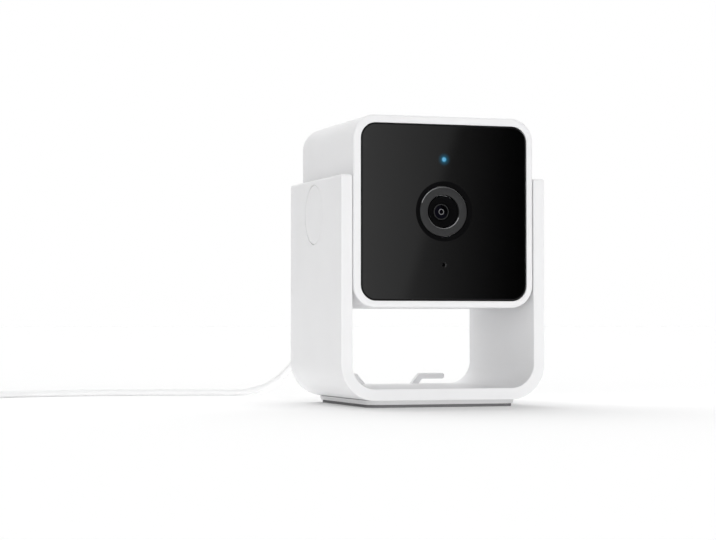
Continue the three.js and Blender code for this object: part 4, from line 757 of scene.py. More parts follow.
@dataclass
class Stand:
    """U-shaped stand: one moulding of two arms and a base, with cord hooks, pivot caps and steel plate."""

    outer: float = 30.2  # outer face of an arm, from the middle
    inner: float = 26.9
    front: float = -26.7
    rear: float = 23.3
    bottom: float = 1.95
    base_top: float = 5.2
    top: float = 64.3
    outer_radius: float = 10.0
    inner_radius: float = 6.8
    front_edge: float = 0.28
    rear_edge: float = 1.2
    top_edge: float = 0.8
    hook_height: float = 3.15
    hook_strip: float = 1.7  # thickness of the hook
    hook_depth: float = 2.4  # its size along Y
    hook_foot: float = 7.35  # where its strut leaves the base, on X
    hook_lean: float = 2.65
    hook_tip: float = 17.8
    hook_sunk: float = 1.2  # how deep it starts in the base
    hook_edge: float = 0.2
    cap_radius: float = 8.5
    cap_seat: float = 29.2
    cap_play: float = 0.08
    plate_half_x: float = 22.35
    plate_half_y: float = 24.0
    plate_y: float = -2.2
    plate_low: float = 0.8  # top of the pad, underside of the plate
    plate_high: float = 2.0
    plate_corner: float = 4.2
    plate_slant: float = 0.3
    pad_inset: float = 0.75

    def moulding(self) -> Shape:
        """The U: the section of the strip is carried down one arm, round the base and up the other arm.

        The outer and the inner line have matching points. The section has a rounded corner at each end
        of both lines, a larger one at the outer rear edge. A point lies on the outer or the inner line,
        plus its offset across the strip and its place along Y. At the arms' tops the section is drawn
        in along a quarter circle, which rounds their edges.

        Returns:
            The shape.
        """
        turn = np.linspace(0.0, 1.0, 29) * QUARTER
        ease = np.linspace(0.0, 1.0, 7)[1:] * QUARTER
        straight_top = self.top - self.top_edge

        def line(reach: float, radius: float, low: float) -> Floats:
            """Outer or inner line, from one arm's top to the other's.

            Args:
                reach: Its X on an arm.
                radius: Radius of its corner.
                low: Its Z on the base.

            Returns:
                Its points in XZ.
            """
            arc_x, arc_z = reach - radius + radius * np.sin(turn), low + radius - radius * np.cos(turn)
            rise = np.linspace(arc_z[-1], straight_top, 7)[1:]
            rise = np.concatenate([rise, straight_top + self.top_edge * np.sin(ease)])
            base = np.linspace(0.0, arc_x[0], 5)[:-1]
            half = np.vstack([beside(base, arc_z[0]), beside(arc_x, arc_z), beside(reach, rise)])
            return np.vstack([half[:0:-1] * (-1.0, 1.0), half])

        outer = line(self.outer, self.outer_radius, self.bottom)
        inner = line(self.inner, self.inner_radius, self.base_top)
        inset = np.zeros((len(outer), 1))
        inset[-len(ease):, 0] = self.top_edge * (1 - np.cos(ease))
        inset[:len(ease)] = inset[:-len(ease) - 1:-1]
        quarter, angle = corner_turn(7)
        edge = np.array([self.rear_edge, self.front_edge, self.front_edge, self.front_edge])[quarter]
        radius = np.maximum(edge - inset, 0.04)
        side, inward = np.array([[1, 1, -1, -1], [-1, 1, 1, -1]])[:, quarter]
        place = np.where(inward < 0, self.rear - inset, self.front + inset) + (inward + np.cos(angle)) * radius
        thick = np.linalg.norm(inner - outer, axis=1, keepdims=True)
        reach = (side < 0) * thick + side * (inset + radius) - np.sin(angle) * radius
        flat = outer[:, None] + ((inner - outer) / thick)[:, None] * reach[..., None]
        return skin(beside(flat[..., 0], place, flat[..., 1]))

    def hook(self, side: int) -> Shape:
        """A cord hook: a strut that leans outwards and a flat that runs on to a round tip.

        Its rounded outline in XZ is carried along Y and drawn in at both ends for a soft edge.

        Args:
            side: -1 for the left hook, 1 for the right.

        Returns:
            The shape.
        """
        top = self.base_top + self.hook_height
        under, root_z = top - self.hook_strip, self.base_top - self.hook_sunk
        slope = self.hook_lean / self.hook_height
        wide = self.hook_strip * math.hypot(1.0, slope)
        root = self.hook_foot - self.hook_sunk * slope
        outline = rounded([
            (root, root_z), (root + wide, root_z),
            (self.hook_foot + wide + (under - self.base_top) * slope, under, 0.5), (self.hook_tip, under, 0.62),
            (self.hook_tip, top, 0.62), (self.hook_foot + self.hook_lean, top, 0.7),
        ], closed=True)
        ahead = np.roll(outline, -1, axis=0) - np.roll(outline, 1, axis=0)
        normal = unit(beside(-ahead[:, 1], ahead[:, 0]))
        ease = np.linspace(0.0, 1.0, 5) * QUARTER
        inset, depth = self.hook_edge * (1 - np.sin(ease)), self.hook_edge * (1 - np.cos(ease))
        drawn = outline + normal * np.concatenate([inset, inset[::-1]])[:, None, None]
        along = np.concatenate([self.rear - self.hook_depth + depth, self.rear - depth[::-1]])[:, None]
        return skin(placed(side * drawn[..., 0], drawn[..., 1], along, (0.0, 0.0, 0.0), Axis.Y))

    def build(self) -> None:
        """Make the stand's pieces.

        Each pivot cap is a disc with a softly rounded rim, flush with its arm. The steel plate has a
        slanted edge and stands on a grey pad.
        """
        wide, past = self.cap_radius + self.cap_play, self.outer + 1.0
        seat = np.array([(0, self.cap_seat), (wide, self.cap_seat), (wide, past), (0, past)])
        changes = []
        for side in (-1, 1):
            changes.append((Change.JOIN, self.hook(side)))
            changes.append((Change.CUT, turned(seat * (1, side), AT_PIVOT, Axis.X, 128)))
        make_piece("stand_moulding", self.moulding(), Slot.WHITE, Body.STAND, "stand_frame", changes=changes)
        back = self.cap_seat + 0.15
        rim = rounded([(0, back), (self.cap_radius, back, 0.05), (self.cap_radius, self.outer, 0.3), (0, self.outer)])
        for name, side in (("left", -1), ("right", 1)):
            cap = turned(rim * (1, side), AT_PIVOT, Axis.X, 128)
            make_piece(f"cap_{name}", cap, Slot.WHITE, Body.STAND, f"pivot_cap_{name}")
        low, high = self.plate_low, self.plate_high
        plate = rounded([(-6, low), (-self.plate_slant, low, 0.12), (0, high, 0.12), (-6, high)])
        pad = rounded([(-6, 0), (0, 0, 0.15), (0, low, 0.05), (-6, low)]) - (self.pad_inset, 0)
        satin = Metal("satin plate", (0.7, 0.7, 0.705), 0.5, metallic=0.3)
        foam = Moulded("grey foam", (0.16, 0.16, 0.164), 0.85, grain=0.35, depth=0.02)
        for name, edge, slot, node, finish in (
            ("steel_plate", plate, Slot.STEEL, "base_plate", satin), ("foot_pad", pad, Slot.RUBBER, "base_pad", foam),
        ):
            centre = (0.0, self.plate_y, 0.0)
            shape = slab(self.plate_half_x, self.plate_half_y, self.plate_corner, edge, centre, Axis.Z, 0.8)
            make_piece(name, shape, slot, Body.STAND, node, finish=finish)


# Head


@dataclass
class Head:
    """Cube-shaped head: housing, front panel, status light, rear cover and setup button."""

    half: float = 26.7
    corner: float = 6.5
    wall: float = 1.8
    front_edge: float = 0.6
    rear_edge: float = 6.0
    bezel_half: float = 24.65
    bezel_edge: float = 0.15
    wall_front: float = -24.2
    wall_back: float = -22.4
    wall_opening: float = 4.65  # radius of the lens opening in the front wall
    cover_half: float = 20.5
    cover_corner: float = 4.0
    cover_gap: float = 0.15
    cover_back: float = 24.9
    panel_half: float = 24.6
    panel_corner: float = 4.4
    panel_back: float = -25.0
    panel_edge: float = 0.45
    panel_shift: tuple[float, float] = (0.17, -0.17)  # of the bezel's inner edge and the panel, on X and Z
    halo_radius: float = 8.4
    halo_depth: float = 0.6
    opening_radius: float = 7.15
    light_radius: float = 0.75
    light_gap: float = 0.06
    mic_z: float = 39.55
    mic_radius: float = 0.4
    mic_sink: float = 0.28
    grille_z: float = 60.85
    grille_pitch: float = 2.4
    grille_rings: int = 3
    button_x: float = 11.0
    button_radius: float = 2.4
    button_face: float = 26.45

    def housing(self) -> Shape:
        """Housing as one closed shell.

        A profile of half sizes runs from the rounded inner edge of the bezel over its front, along the
        side, round the large rear edge into the cover's opening, back inside along the cavity, and over
        the front wall to the lens opening. Every profile point is carried round a square whose corner
        radius shrinks as the profile is drawn in.

        Returns:
            The shell.
        """
        def arc(half: float, along: float, radius: float, start: float, end: float, count: int) -> Floats:
            """Arc of the profile about a half size and a Y, from one angle in degrees to another."""
            angle = np.radians(np.linspace(start, end, count))
            return beside(half + radius * np.cos(angle), along + radius * np.sin(angle))

        rear, front, soft = self.half, -self.half, self.bezel_edge
        opening, turn = self.cover_half + self.cover_gap, self.half - self.rear_edge
        parts = (
            [(self.bezel_half, self.wall_front)],
            arc(self.bezel_half + soft, front + soft, soft, 180, 270, 6),
            arc(self.half - self.front_edge, front + self.front_edge, self.front_edge, 270, 360, 12),
            [(self.half, along) for along in np.linspace(-20.0, 16.0, 5)],
            arc(turn, turn, self.rear_edge, 0, 90, 22),
            [(opening + 0.02, rear), (opening, rear - 0.12), (opening, rear - self.wall)],
            arc(turn, turn, self.rear_edge - self.wall, 90, 0, 10),
            [(self.half - self.wall, self.wall_back)],
            [(self.wall_opening, self.wall_back), (self.wall_opening, self.wall_front)],
        )
        line = np.vstack(parts)
        radius = np.maximum(self.corner - (self.half - line[:, 0]), 0.5)
        past_rear = sum(len(part) for part in parts[:5])
        radius[past_rear:past_rear + 3] = self.cover_corner + self.cover_gap
        radius[-2:] = self.wall_opening
        shell = lofted(beside(line[:, 0], line[:, 0], radius, line[:, 1]), HEAD_MIDDLE, Axis.Y, 18, loop=True)
        inner_rings = len(shell.points) // len(line) * 7  # points of the seven rings on the bezel's inner edge
        shell.points[:inner_rings, [0, 2]] += self.panel_shift
        return shell

    def panel(self) -> Shape:
        """Front panel: rings that pass from the round lens opening to the square outer edge.

        A ring is a mix of a circle and a rounded square along the same rays. On a ray the square's
        edge is half / max(|cos|, |sin|) away, or where the ray meets the corner's circle.

        Returns:
            The panel.
        """
        even = np.linspace(0.0, 2 * math.pi, 97)[:-1]
        near = (np.arange(4)[:, None] * QUARTER + QUARTER / 2 + np.linspace(-0.14, 0.14, 23)).ravel()
        angle = np.unique(np.concatenate([even, near]).round(6))
        rays = beside(np.cos(angle), np.sin(angle))
        small, large = np.sort(np.abs(rays), axis=1).T
        line = rounded([
            (self.opening_radius, self.panel_back), (self.opening_radius, PANEL_FRONT + self.halo_depth, 0.1),
            (self.halo_radius, PANEL_FRONT),
        ])
        circle = line[:, :1, None] * rays + (0.0, EYE_Z - LENS_Z)
        edge = rounded([
            (2.0, PANEL_FRONT), (self.panel_edge, PANEL_FRONT, 0.12), (0.0, PANEL_FRONT + self.panel_edge, 0.12),
            (0.0, self.panel_back),
        ])
        half = self.panel_half - edge[:, :1]
        radius = np.maximum(self.panel_corner - edge[:, :1], 0.3)
        straight, core = half / large, half - radius
        total = core * (small + large)
        bent = total + np.sqrt(np.maximum(total**2 - 2 * core**2 + radius**2, 0.0))
        ray = np.where(straight * small > core, bent, straight)
        square = ray[..., None] * rays + self.panel_shift
        share = np.array([0.12, 0.35, 0.7])[:, None, None]
        flat = np.vstack([circle, circle[-1:] * (1 - share) + square[:1] * share, square])
        along = np.concatenate([line[:, 1], np.full(3, PANEL_FRONT), edge[:, 1]])[:, None]
        return skin(placed(flat[..., 0], flat[..., 1], along, HEAD_MIDDLE, Axis.Y), loop=True)

    def front(self) -> None:
        """Make the housing, the panel with its sunk microphone hole, and the status light."""
        make_piece("head_housing", self.housing(), Slot.WHITE, Body.HEAD, "housing_shell")
        changes = []
        for radius, sink, height in (
            (self.light_radius + self.light_gap, 0.02, LIGHT_Z), (self.mic_radius, self.mic_sink, self.mic_z),
        ):
            wide, rim, deep = radius + sink, PANEL_FRONT + sink, -TOOL_IN
            hole = [(0, -TOOL_OUT), (wide, -TOOL_OUT), (wide, PANEL_FRONT), (radius, rim), (radius, deep), (0, deep)]
            changes.append((Change.CUT, turned(hole, (0.0, 0.0, height), Axis.Y, 40)))
        panel = make_piece("smoked_panel", self.panel(), Slot.GLOSS, Body.HEAD, "front_panel", sharp=FINE_SHARP,
                           changes=changes)
        centres, normals = face_vectors(panel)
        away = np.hypot(centres[:, 0], centres[:, 2] - EYE_Z)
        # Painted highlight: the panel's outer chamfer gets a lighter matte grey that stands in for the highlight along
        # its edge.
        outer_edge = (away > 23.0) & (normals[:, 1] > -0.9)
        painted_edge_highlight = Moulded("panel edge painted highlight", (0.007, 0.007, 0.0073), 0.5, depth=0.001, specular=0.15)
        paint(panel, np.where(outer_edge, 2, away < self.halo_radius), material(Slot.BLACK), painted_edge_highlight.make())
        pipe = rounded([
            (0, PANEL_FRONT + 0.02), (self.light_radius, PANEL_FRONT + 0.02, 0.12), (self.light_radius, -23.5),
            (1.1, -23.5), (1.1, -22.9), (0, -22.9),
        ])
        shape = turned(pipe, (0.0, 0.0, LIGHT_Z), Axis.Y, 48)
        make_piece("light_pipe", shape, Slot.LIGHT, Body.HEAD, "status_light_pipe")

    def grille(self) -> Shape:
        """Tools for the grille's holes, on a hexagonal pattern.

        Rows are a pitch times sin 60 degrees apart, each one hole shorter than the row nearer the middle.

        Returns:
            The tools.
        """
        bore = [(0, TOOL_IN), (0.6, TOOL_IN), (0.6, 26.55), (0.72, 26.72), (0.72, TOOL_OUT), (0, TOOL_OUT)]
        rings, pitch = self.grille_rings, self.grille_pitch
        holes = []
        for row in range(-rings, rings + 1):
            height = self.grille_z + row * pitch * math.sin(math.pi / 3)
            for k in range(2 * rings + 1 - abs(row)):
                holes.append(turned(bore, ((k - rings + abs(row) / 2) * pitch, 0.0, height), Axis.Y, 20))
        return sum(holes[1:], holes[0])

    def build(self) -> None:
        """Make the head's pieces: the front, the rear cover with its recess and holes, and the button."""
        self.front()
        back, rear = self.cover_back, self.half
        edge = rounded([(-6, back), (0, back, 0.1), (0, rear, 0.3), (-6, rear)])
        cover = slab(self.cover_half, self.cover_half, self.cover_corner, edge, HEAD_MIDDLE, Axis.Y, 0.6)
        recess = [(6.2, 4.2, 1.6, 25.8), (6.2, 4.2, 1.6, 26.6), (6.3, 4.3, 1.7, 26.75), (6.3, 4.3, 1.7, TOOL_OUT)]
        hole = [(0, TOOL_IN), (2.55, TOOL_IN), (2.55, 26.58), (2.68, 26.74), (2.68, TOOL_OUT), (0, TOOL_OUT)]
        at_button = (self.button_x, 0.0, PORT_Z)
        tools = (
            self.grille(), lofted(recess, AT_PORT, Axis.Y, 8),
            block((-4.2, TOOL_IN, PORT_Z - 1.7), (4.2, TOOL_OUT, PORT_Z + 1.7)), turned(hole, at_button, Axis.Y, 48),
        )
        changes = [(Change.CUT, tool) for tool in tools]
        make_piece("cover_plate", cover, Slot.WHITE, Body.HEAD, "rear_cover", changes=changes)
        wide, face = self.button_radius, self.button_face
        line = rounded([
            (0, 19.9), (1, 19.9), (1, 23.85), (2.9, 23.85), (2.9, 24.75), (wide, 24.75), (wide, face, 0.25),
            (1.9, face, 0.8), (0, face - 0.12),
        ])
        make_piece("button_cap", turned(line, at_button, Axis.Y, 48), Slot.WHITE, Body.BUTTON, "setup_button")


@dataclass
class Lens:
    """Lens behind the panel's opening: ring, barrel with a stepped cone, front element and iris."""

    ring_radius: float = 7.0
    ring_bore: float = 4.65
    ring_front: float = -26.15
    ring_back: float = -24.45
    lip: float = -25.6
    lip_edge: float = 0.12
    lip_wide: float = 0.35
    cone_end: float = -24.1
    cone_radius: float = 2.45
    cone_steps: int = 7
    barrel_front: float = 4.35
    glass_radius: float = 2.3
    glass_edge: float = -23.825
    glass_back: float = -23.35
    dome: float = 0.55

    def build(self) -> None:
        """Make the lens pieces; the ring's front edges that slant upwards get a bright metal finish, a painted
        highlight for the light from above.
        """
        bore, wide, front, back = self.ring_bore, self.ring_radius, self.ring_front, self.ring_back
        ring = rounded([(bore, back), (bore, front, 0.24), (wide, front, 0.3), (wide, back)], closed=True)
        shape = turned(ring, AT_EYE, Axis.Y, 160, closed=True)
        piece = make_piece("lens_bezel_ring", shape, Slot.RING, Body.HEAD, "lens_ring", sharp=FINE_SHARP)
        centres, normals = face_vectors(piece)
        # Painted highlight: only the ring's front edge faces that look up get the bright metal, as if lit from above.
        lit_from_above = normals[:, 2] > 0.35 * np.hypot(normals[:, 0], normals[:, 2])
        slanted = (normals[:, 1] > -0.97) & (normals[:, 1] < -0.2) & (centres[:, 1] < front + 0.24)
        paint(piece, slanted & lit_from_above, Metal("painted highlight edge", (0.42, 0.423, 0.428), 0.35, EVEN).make())
        shape = turned(self.barrel(), AT_EYE, Axis.Y, 128, closed=True)
        make_piece("stepped_barrel", shape, Slot.BLACK, Body.HEAD, "lens_barrel", sharp=FINE_SHARP)
        for name, radius, thick, front, finish in (
            ("element_retainer", 2.1, 0.16, -24.3, None),
            ("iris_ring", 0.72, 0.13, -24.42, Metal("iris metal", (0.3, 0.3, 0.305), 0.25, EVEN)),
        ):
            low, high, soft = radius - thick, radius + thick, thick * 0.9
            band = rounded([(low, -23.6), (low, front, soft), (high, front, soft), (high, -23.6)], closed=True)
            shape = turned(band, AT_EYE, Axis.Y, closed=True)
            make_piece(name, shape, Slot.RING, Body.HEAD, sharp=FINE_SHARP, finish=finish)
        bulge = np.linspace(0.0, 1.0, 15) * QUARTER
        dome = beside(self.glass_radius * np.sin(bulge), self.glass_edge - self.dome * np.cos(bulge))
        glass = np.vstack([dome, [(self.glass_radius, self.glass_back), (0.0, self.glass_back)]])
        make_piece("front_element", turned(glass, AT_EYE, Axis.Y), Slot.LENS, Body.HEAD, "lens_front_glass")

    def barrel(self) -> Floats:
        """Profile of the barrel: its cone goes down in fine steps, like the baffles that keep stray light out.

        Along the cone the radius falls evenly, and each step is a short flat and a short drop.

        Returns:
            Radius and Y of its points.
        """
        steps, wide, top = self.cone_steps, self.barrel_front, self.lip + self.lip_edge
        start, narrow, end = wide - self.lip_wide, self.cone_radius, self.cone_end
        share = np.repeat(np.arange(steps + 1), 2)[1:-1] / steps
        drop = (np.repeat(np.arange(steps), 2) + 0.35 * (np.arange(2 * steps) % 2)) / steps
        cone = beside(start + (narrow - start) * share, top + (end - top) * drop)
        return np.vstack([
            rounded([(wide, -21.3), (wide, self.lip, 0.12), (start, self.lip, 0.1), (start, top)]), cone,
            [(narrow, end), (narrow, -23.2), (4, -21.3), (4, -13.2), (6, -13.2), (6, -21.3)],
        ])


# Cord


@dataclass
class MicroPlug:
    """Moulded micro-USB plug, seated in the head's port, with its ribbed strain relief."""

    half_x: float = 5.4
    half_z: float = 3.4
    corner: float = 1.4
    front: float = 26.1
    rear: float = 41.1
    front_edge: float = 0.35
    rear_edge: float = 0.5
    narrowed: float = 5.25  # length over which the body gets narrower to the rear
    narrowing: float = 0.8  # what a half size loses there
    grooves: int = 4
    groove_start: float = 29.5
    groove_pitch: float = 1.3
    groove_depth: float = 0.16
    relief_start: float = 41.4
    relief_length: float = 9.0
    relief_radius: float = 2.3
    relief_narrowing: float = 0.65  # what its radius loses to its end
    ribs: int = 5
    rib_depth: float = 0.34

    def body(self) -> Object:
        """Plug body: rounded box, narrowed to the rear, with grip grooves across its flats.

        Along Y both half sizes lose a power of the way into the narrowed stretch and a quarter circle
        at each end, and the half height dips by a groove's depth in a row of raised-cosine bands.

        Returns:
            The piece.
        """
        front, rear, depth = self.front, self.rear, self.groove_depth
        ends = [front, front + 0.1, front + 0.25, rear - 0.5, rear - 0.25, rear - 0.1]
        along = np.unique(np.concatenate([ends, np.linspace(front + 0.4, rear, 60)]))
        taper = self.narrowing * np.clip((along - (rear - self.narrowed)) / self.narrowed, 0.0, 1.0) ** 1.5
        inset = taper + soft_end(along - front, self.front_edge) + soft_end(rear - along, self.rear_edge)
        phase = (along - self.groove_start) / self.groove_pitch
        groove = np.where((phase > 0) & (phase < self.grooves), depth * (1 - np.cos(2 * math.pi * phase)) / 2, 0.0)
        corner = np.maximum(self.corner - inset * 0.4, 0.5)
        shape = lofted(beside(self.half_x - inset, self.half_z - inset - groove, corner, along), AT_PORT, Axis.Y, 8)
        return make_piece("micro_plug_body", shape, Slot.CORD, Body.HEAD, "plug_body")

    def relief(self) -> Object:
        """Strain relief: a tapered sleeve with ribs.

        Along Y the radius falls evenly. Between two ribs it dips by one minus a power of a raised cosine.

        Returns:
            The piece.
        """
        share, start, long = np.linspace(0.0, 1.0, 81), self.relief_start, self.relief_length
        wave = (np.cos(2 * math.pi * share * self.ribs) + 1) / 2
        dip = self.rib_depth * (1 - wave**0.35) * ((share > 0.06) & (share < 0.94))
        sleeve = beside(self.relief_radius - self.relief_narrowing * share - dip, start + long * share)
        shape = turned(np.vstack([(0, start), sleeve, (0, start + long)]), AT_PORT, Axis.Y, 32)
        return make_piece("strain_relief", shape, Slot.CORD, Body.HEAD, "plug_strain_relief", sharp=50.0)


@dataclass
class FarPlug:
    """USB-A plug at the cord's far end: a moulded grip and a metal shell, both along Y."""

    x: float
    z: float
    rear: float = 55.1  # where the cord meets the grip
    length: float = 20.0
    half_x: float = 7.0
    half_z: float = 3.5
    corner: float = 1.2
    edge: float = 0.6
    narrowed: float = 6.0  # length over which the grip gets narrower to the cord
    narrowing: float = 1.5  # what a half size loses there
    shell_back: float = 34.95
    shell_length: float = 18.7
    shell_half_x: float = 6.0
    shell_half_z: float = 2.25
    shell_wall: float = 0.4
    window_x: float = 2.8  # middle of a latch window, from the plug's middle
    window_half: float = 1.2
    window_front: float = 9.2  # its ends, from the back of the shell
    window_rear: float = 7.0
    contacts_half: float = 5.5

    def grip(self) -> Object:
        """Moulded grip: a rounded box, narrowed where the cord goes in.

        Along Y both half sizes lose a power of the way into the narrowed stretch and a quarter circle
        at each end.

        Returns:
            The piece.
        """
        front, rear = self.rear - self.length, self.rear
        along = np.unique(np.concatenate([
            np.linspace(front, front + 0.8, 5), np.linspace(front + 1, rear - 1, 30),
            np.linspace(rear - 0.8, rear, 5)]))
        narrow = self.narrowing * (1 - np.clip((rear - along) / self.narrowed, 0.0, 1.0)) ** 1.4
        inset = narrow + soft_end(np.minimum(along - front, rear - along), self.edge)
        corner = np.minimum(self.corner, self.half_z - 0.05 - inset)
        stations = beside(self.half_x - inset, self.half_z - inset, corner, along)
        shape = lofted(stations, (self.x, 0.0, self.z), Axis.Y, 8)
        return make_piece("usb_plug_grip", shape, Slot.CORD, Body.STAND, "usb_plug_body")

    def shell(self) -> Object:
        """Metal shell: a thin flat tube with four latch windows and the block that carries the contacts.

        A rounded rectangle runs from the back to the mouth, turns in by the wall and runs halfway back.

        Returns:
            The piece.
        """
        x, back, mouth = self.x, self.shell_back, self.shell_back - self.shell_length
        outer = (self.shell_half_x, self.shell_half_z, 0.5)
        inner = (self.shell_half_x - self.shell_wall, self.shell_half_z - self.shell_wall, 0.3)
        tube = [(*outer, back), (*outer, mouth), (*inner, mouth), (*inner, back - self.shell_length / 2)]
        half, front, rear = self.window_half, back - self.window_front, back - self.window_rear
        windows = [
            block((middle - half, front, low), (middle + half, rear, low + 1.2))
            for middle in (x - self.window_x, x + self.window_x) for low in (5.3, 0.5)
        ]
        contacts = block((x - self.contacts_half, mouth + 0.4, 1.35), (x + self.contacts_half, back - 5.0, 3.4))
        return make_piece(
            "usb_shell", lofted(tube, (x, 0.0, self.z), Axis.Y, 5), Slot.STEEL, Body.STAND, "usb_plug_shell",
            changes=[(Change.CUT, sum(windows[1:], windows[0])), (Change.JOIN, contacts)])


@dataclass
class Cord:
    """USB power cord: free stretch, coil and tie between its two plugs."""

    radius: float = 1.1
    coil_x: float = -137.0
    coil_y: float = 57.8
    low: float = 1.85  # height of the coil's lowest centreline
    layers: int = 4
    turns: float = 5.25
    pitch: float = 2.7
    inner: float = 6.14
    lead: float = 2.4
    tail_radius: float = 28.715
    tail_z: float = 3.5
    tie_inner: float = 4.74  # inside of the tie, from the coil's middle
    tie_outer: float = 21.715
    tie_low: float = 0.45
    tie_high: float = 11.35
    tie_corner: float = 1.2
    route: tuple[Point, ...] = (
        (0, 50.7, 39.35), (0, 54.4, 39.35), (-0.5, 59, 38.9), (-1.9, 63, 36.6), (-4.1, 65.9, 32.6),
        (-6.6, 67.2, 27.6), (-9.2, 67.4, 22.3), (-11.9, 67.3, 17.3), (-14.5, 67.5, 12.8), (-17, 68.6, 9.2),
        (-19.3, 71, 6.3), (-21.6, 74, 4.1), (-24.4, 77.1, 2.5), (-27.6, 79.8, 1.5), (-31.5, 82.2, 1.1),
        (-37, 84.3, 1.1), (-47, 87.5, 1.1), (-57.5, 90.4, 1.1), (-68, 91.9, 1.1), (-79, 91.8, 1.1),
        (-90, 90, 1.1), (-102, 86.4, 1.1), (-114, 82, 1.1), (-124, 79, 1.4), (-134.3, 78.115, 1.85),
    )

    def stretch(self, per_span: int = 9) -> Floats:
        """Free stretch: a centripetal Catmull-Rom curve through the route's points.

        Between two points the curve is a cubic whose end slopes come from the neighbouring points,
        each weighted by the square root of the distance to it. Past the ends the route is mirrored.

        Args:
            per_span: Points made between two route points.

        Returns:
            The centreline's points.
        """
        points = np.array(self.route, float)
        points = np.vstack([2 * points[0] - points[1], points, 2 * points[-1] - points[-2]])
        p0, p1, p2, p3 = (points[k:len(points) - 3 + k] for k in range(4))
        d0, d1, d2 = (np.linalg.norm(b - a, axis=1, keepdims=True) ** 0.5 for a, b in ((p0, p1), (p1, p2), (p2, p3)))
        slope_1 = ((p1 - p0) / d0 - (p2 - p0) / (d0 + d1) + (p2 - p1) / d1) * d1
        slope_2 = ((p2 - p1) / d1 - (p3 - p1) / (d1 + d2) + (p3 - p2) / d2) * d1
        t = (np.arange(per_span) / per_span)[None, :, None]
        p1, p2, slope_1, slope_2 = (value[:, None] for value in (p1, p2, slope_1, slope_2))
        curve = (p1 + slope_1 * t + (3 * (p2 - p1) - 2 * slope_1 - slope_2) * t**2
                 + (2 * (p1 - p2) + slope_1 + slope_2) * t**3)
        return np.vstack([curve.reshape(-1, 3), points[-2][None]])

    def coil(self, per_turn: int = 72) -> Floats:
        """Coil: the radius runs in and out again at a steady rate, one way in each layer.

        The cord climbs a layer in the half turn about each reversal. A last quarter turn goes down and
        out to the far plug, eased at both ends.

        Args:
            per_turn: Points in a turn.

        Returns:
            The centreline's points.
        """
        outer = self.inner + self.turns * self.pitch
        top = self.low + self.pitch * (self.layers - 1)
        whole = self.layers * self.turns
        turn = np.linspace(0.0, whole, int(whole * per_turn) + 1)
        layer = turn / self.turns % 2
        radius = outer - self.pitch * self.turns * np.where(layer < 1, layer, 2 - layer)
        nearest = np.clip(np.round(turn / self.turns), 1, self.layers - 1)
        climb = np.clip(2 * (turn - nearest * self.turns) + 0.5, 0.0, 1.0)
        share = np.arange(1, per_turn // 4 + 1) / (per_turn // 4)
        eased = share * share * (3 - 2 * share)
        turn = np.concatenate([turn, whole + share / 4])
        radius = np.concatenate([radius, outer + (self.tail_radius - outer) * eased])
        height = np.concatenate([self.low + self.pitch * (nearest - 1 + climb), top + (self.tail_z - top) * eased])
        angle = QUARTER + 2 * math.pi * turn
        wound = beside(self.coil_x + radius * np.cos(angle), self.coil_y + radius * np.sin(angle), height)
        lead_in = (self.coil_x + self.lead, self.coil_y + outer, self.low)
        return np.vstack([lead_in, wound, (self.coil_x - self.tail_radius, self.coil_y - self.lead, self.tail_z)])

    def tube(self, line: Floats, sides: int = 14) -> Shape:
        """Tube about a line: at each point a circle square to the line, one side of it level.

        Args:
            line: Centreline, which never runs upright.
            sides: Facets round the tube.

        Returns:
            The tube with closed ends.
        """
        along = unit(np.gradient(line, axis=0))
        across = unit(np.cross(along, (0.0, 0.0, 1.0)))
        upright = np.cross(across, along)
        angle = (np.arange(sides) / sides * 2 * math.pi)[None, :, None]
        spokes = across[:, None] * np.cos(angle) + upright[:, None] * np.sin(angle)
        return skin(line[:, None] + self.radius * spokes)

    def build(self) -> None:
        """Make the cord with its plugs, relief and tie."""
        line = np.vstack([self.stretch(), self.coil()])
        cord = mesh_object("usb_cord", self.tube(line), 60.0)
        cord.data.materials.append(material(Slot.CORD))
        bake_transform(cord)
        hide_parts("power_cord", "cord_coil")
        near, far = MicroPlug(), FarPlug(self.coil_x - self.tail_radius, self.tail_z)
        pieces = [near.body(), near.relief(), far.grip(), far.shell(), self.tie()]

    def tie(self) -> Object:
        """Tie round the coil's turns: a flat band bent into a rounded frame, closed on itself.

        The band's section is carried round a rounded rectangle in YZ that is as large as the tie's inside.

        Returns:
            The piece.
        """
        half_y, half_z = (self.tie_outer - self.tie_inner) / 2, (self.tie_high - self.tie_low) / 2
        middle_y, middle_z = (self.tie_outer + self.tie_inner) / 2, (self.tie_high + self.tie_low) / 2
        band = np.array([
            (half_y + out, half_z + out, self.tie_corner + out, along)
            for out, along in ((0, -1.4), (0.1, -1.5), (0.45, -1.4), (0.45, 1.4), (0.1, 1.5), (0, 1.4))
        ])
        shape = lofted(band, (self.coil_x, self.coil_y - middle_y, middle_z), Axis.X, 8, loop=True)
        return make_piece("cord_tie", shape, Slot.BLACK, Body.STAND, "coil_tie")


# Studio


@dataclass(frozen=True)
class Softbox:
    """Large soft light, far away: brightest in one direction and fading smoothly round it."""

    direction: Point  # towards the light
    focus: float  # power of the fall-off; 1 lights half the sky
    strength: float


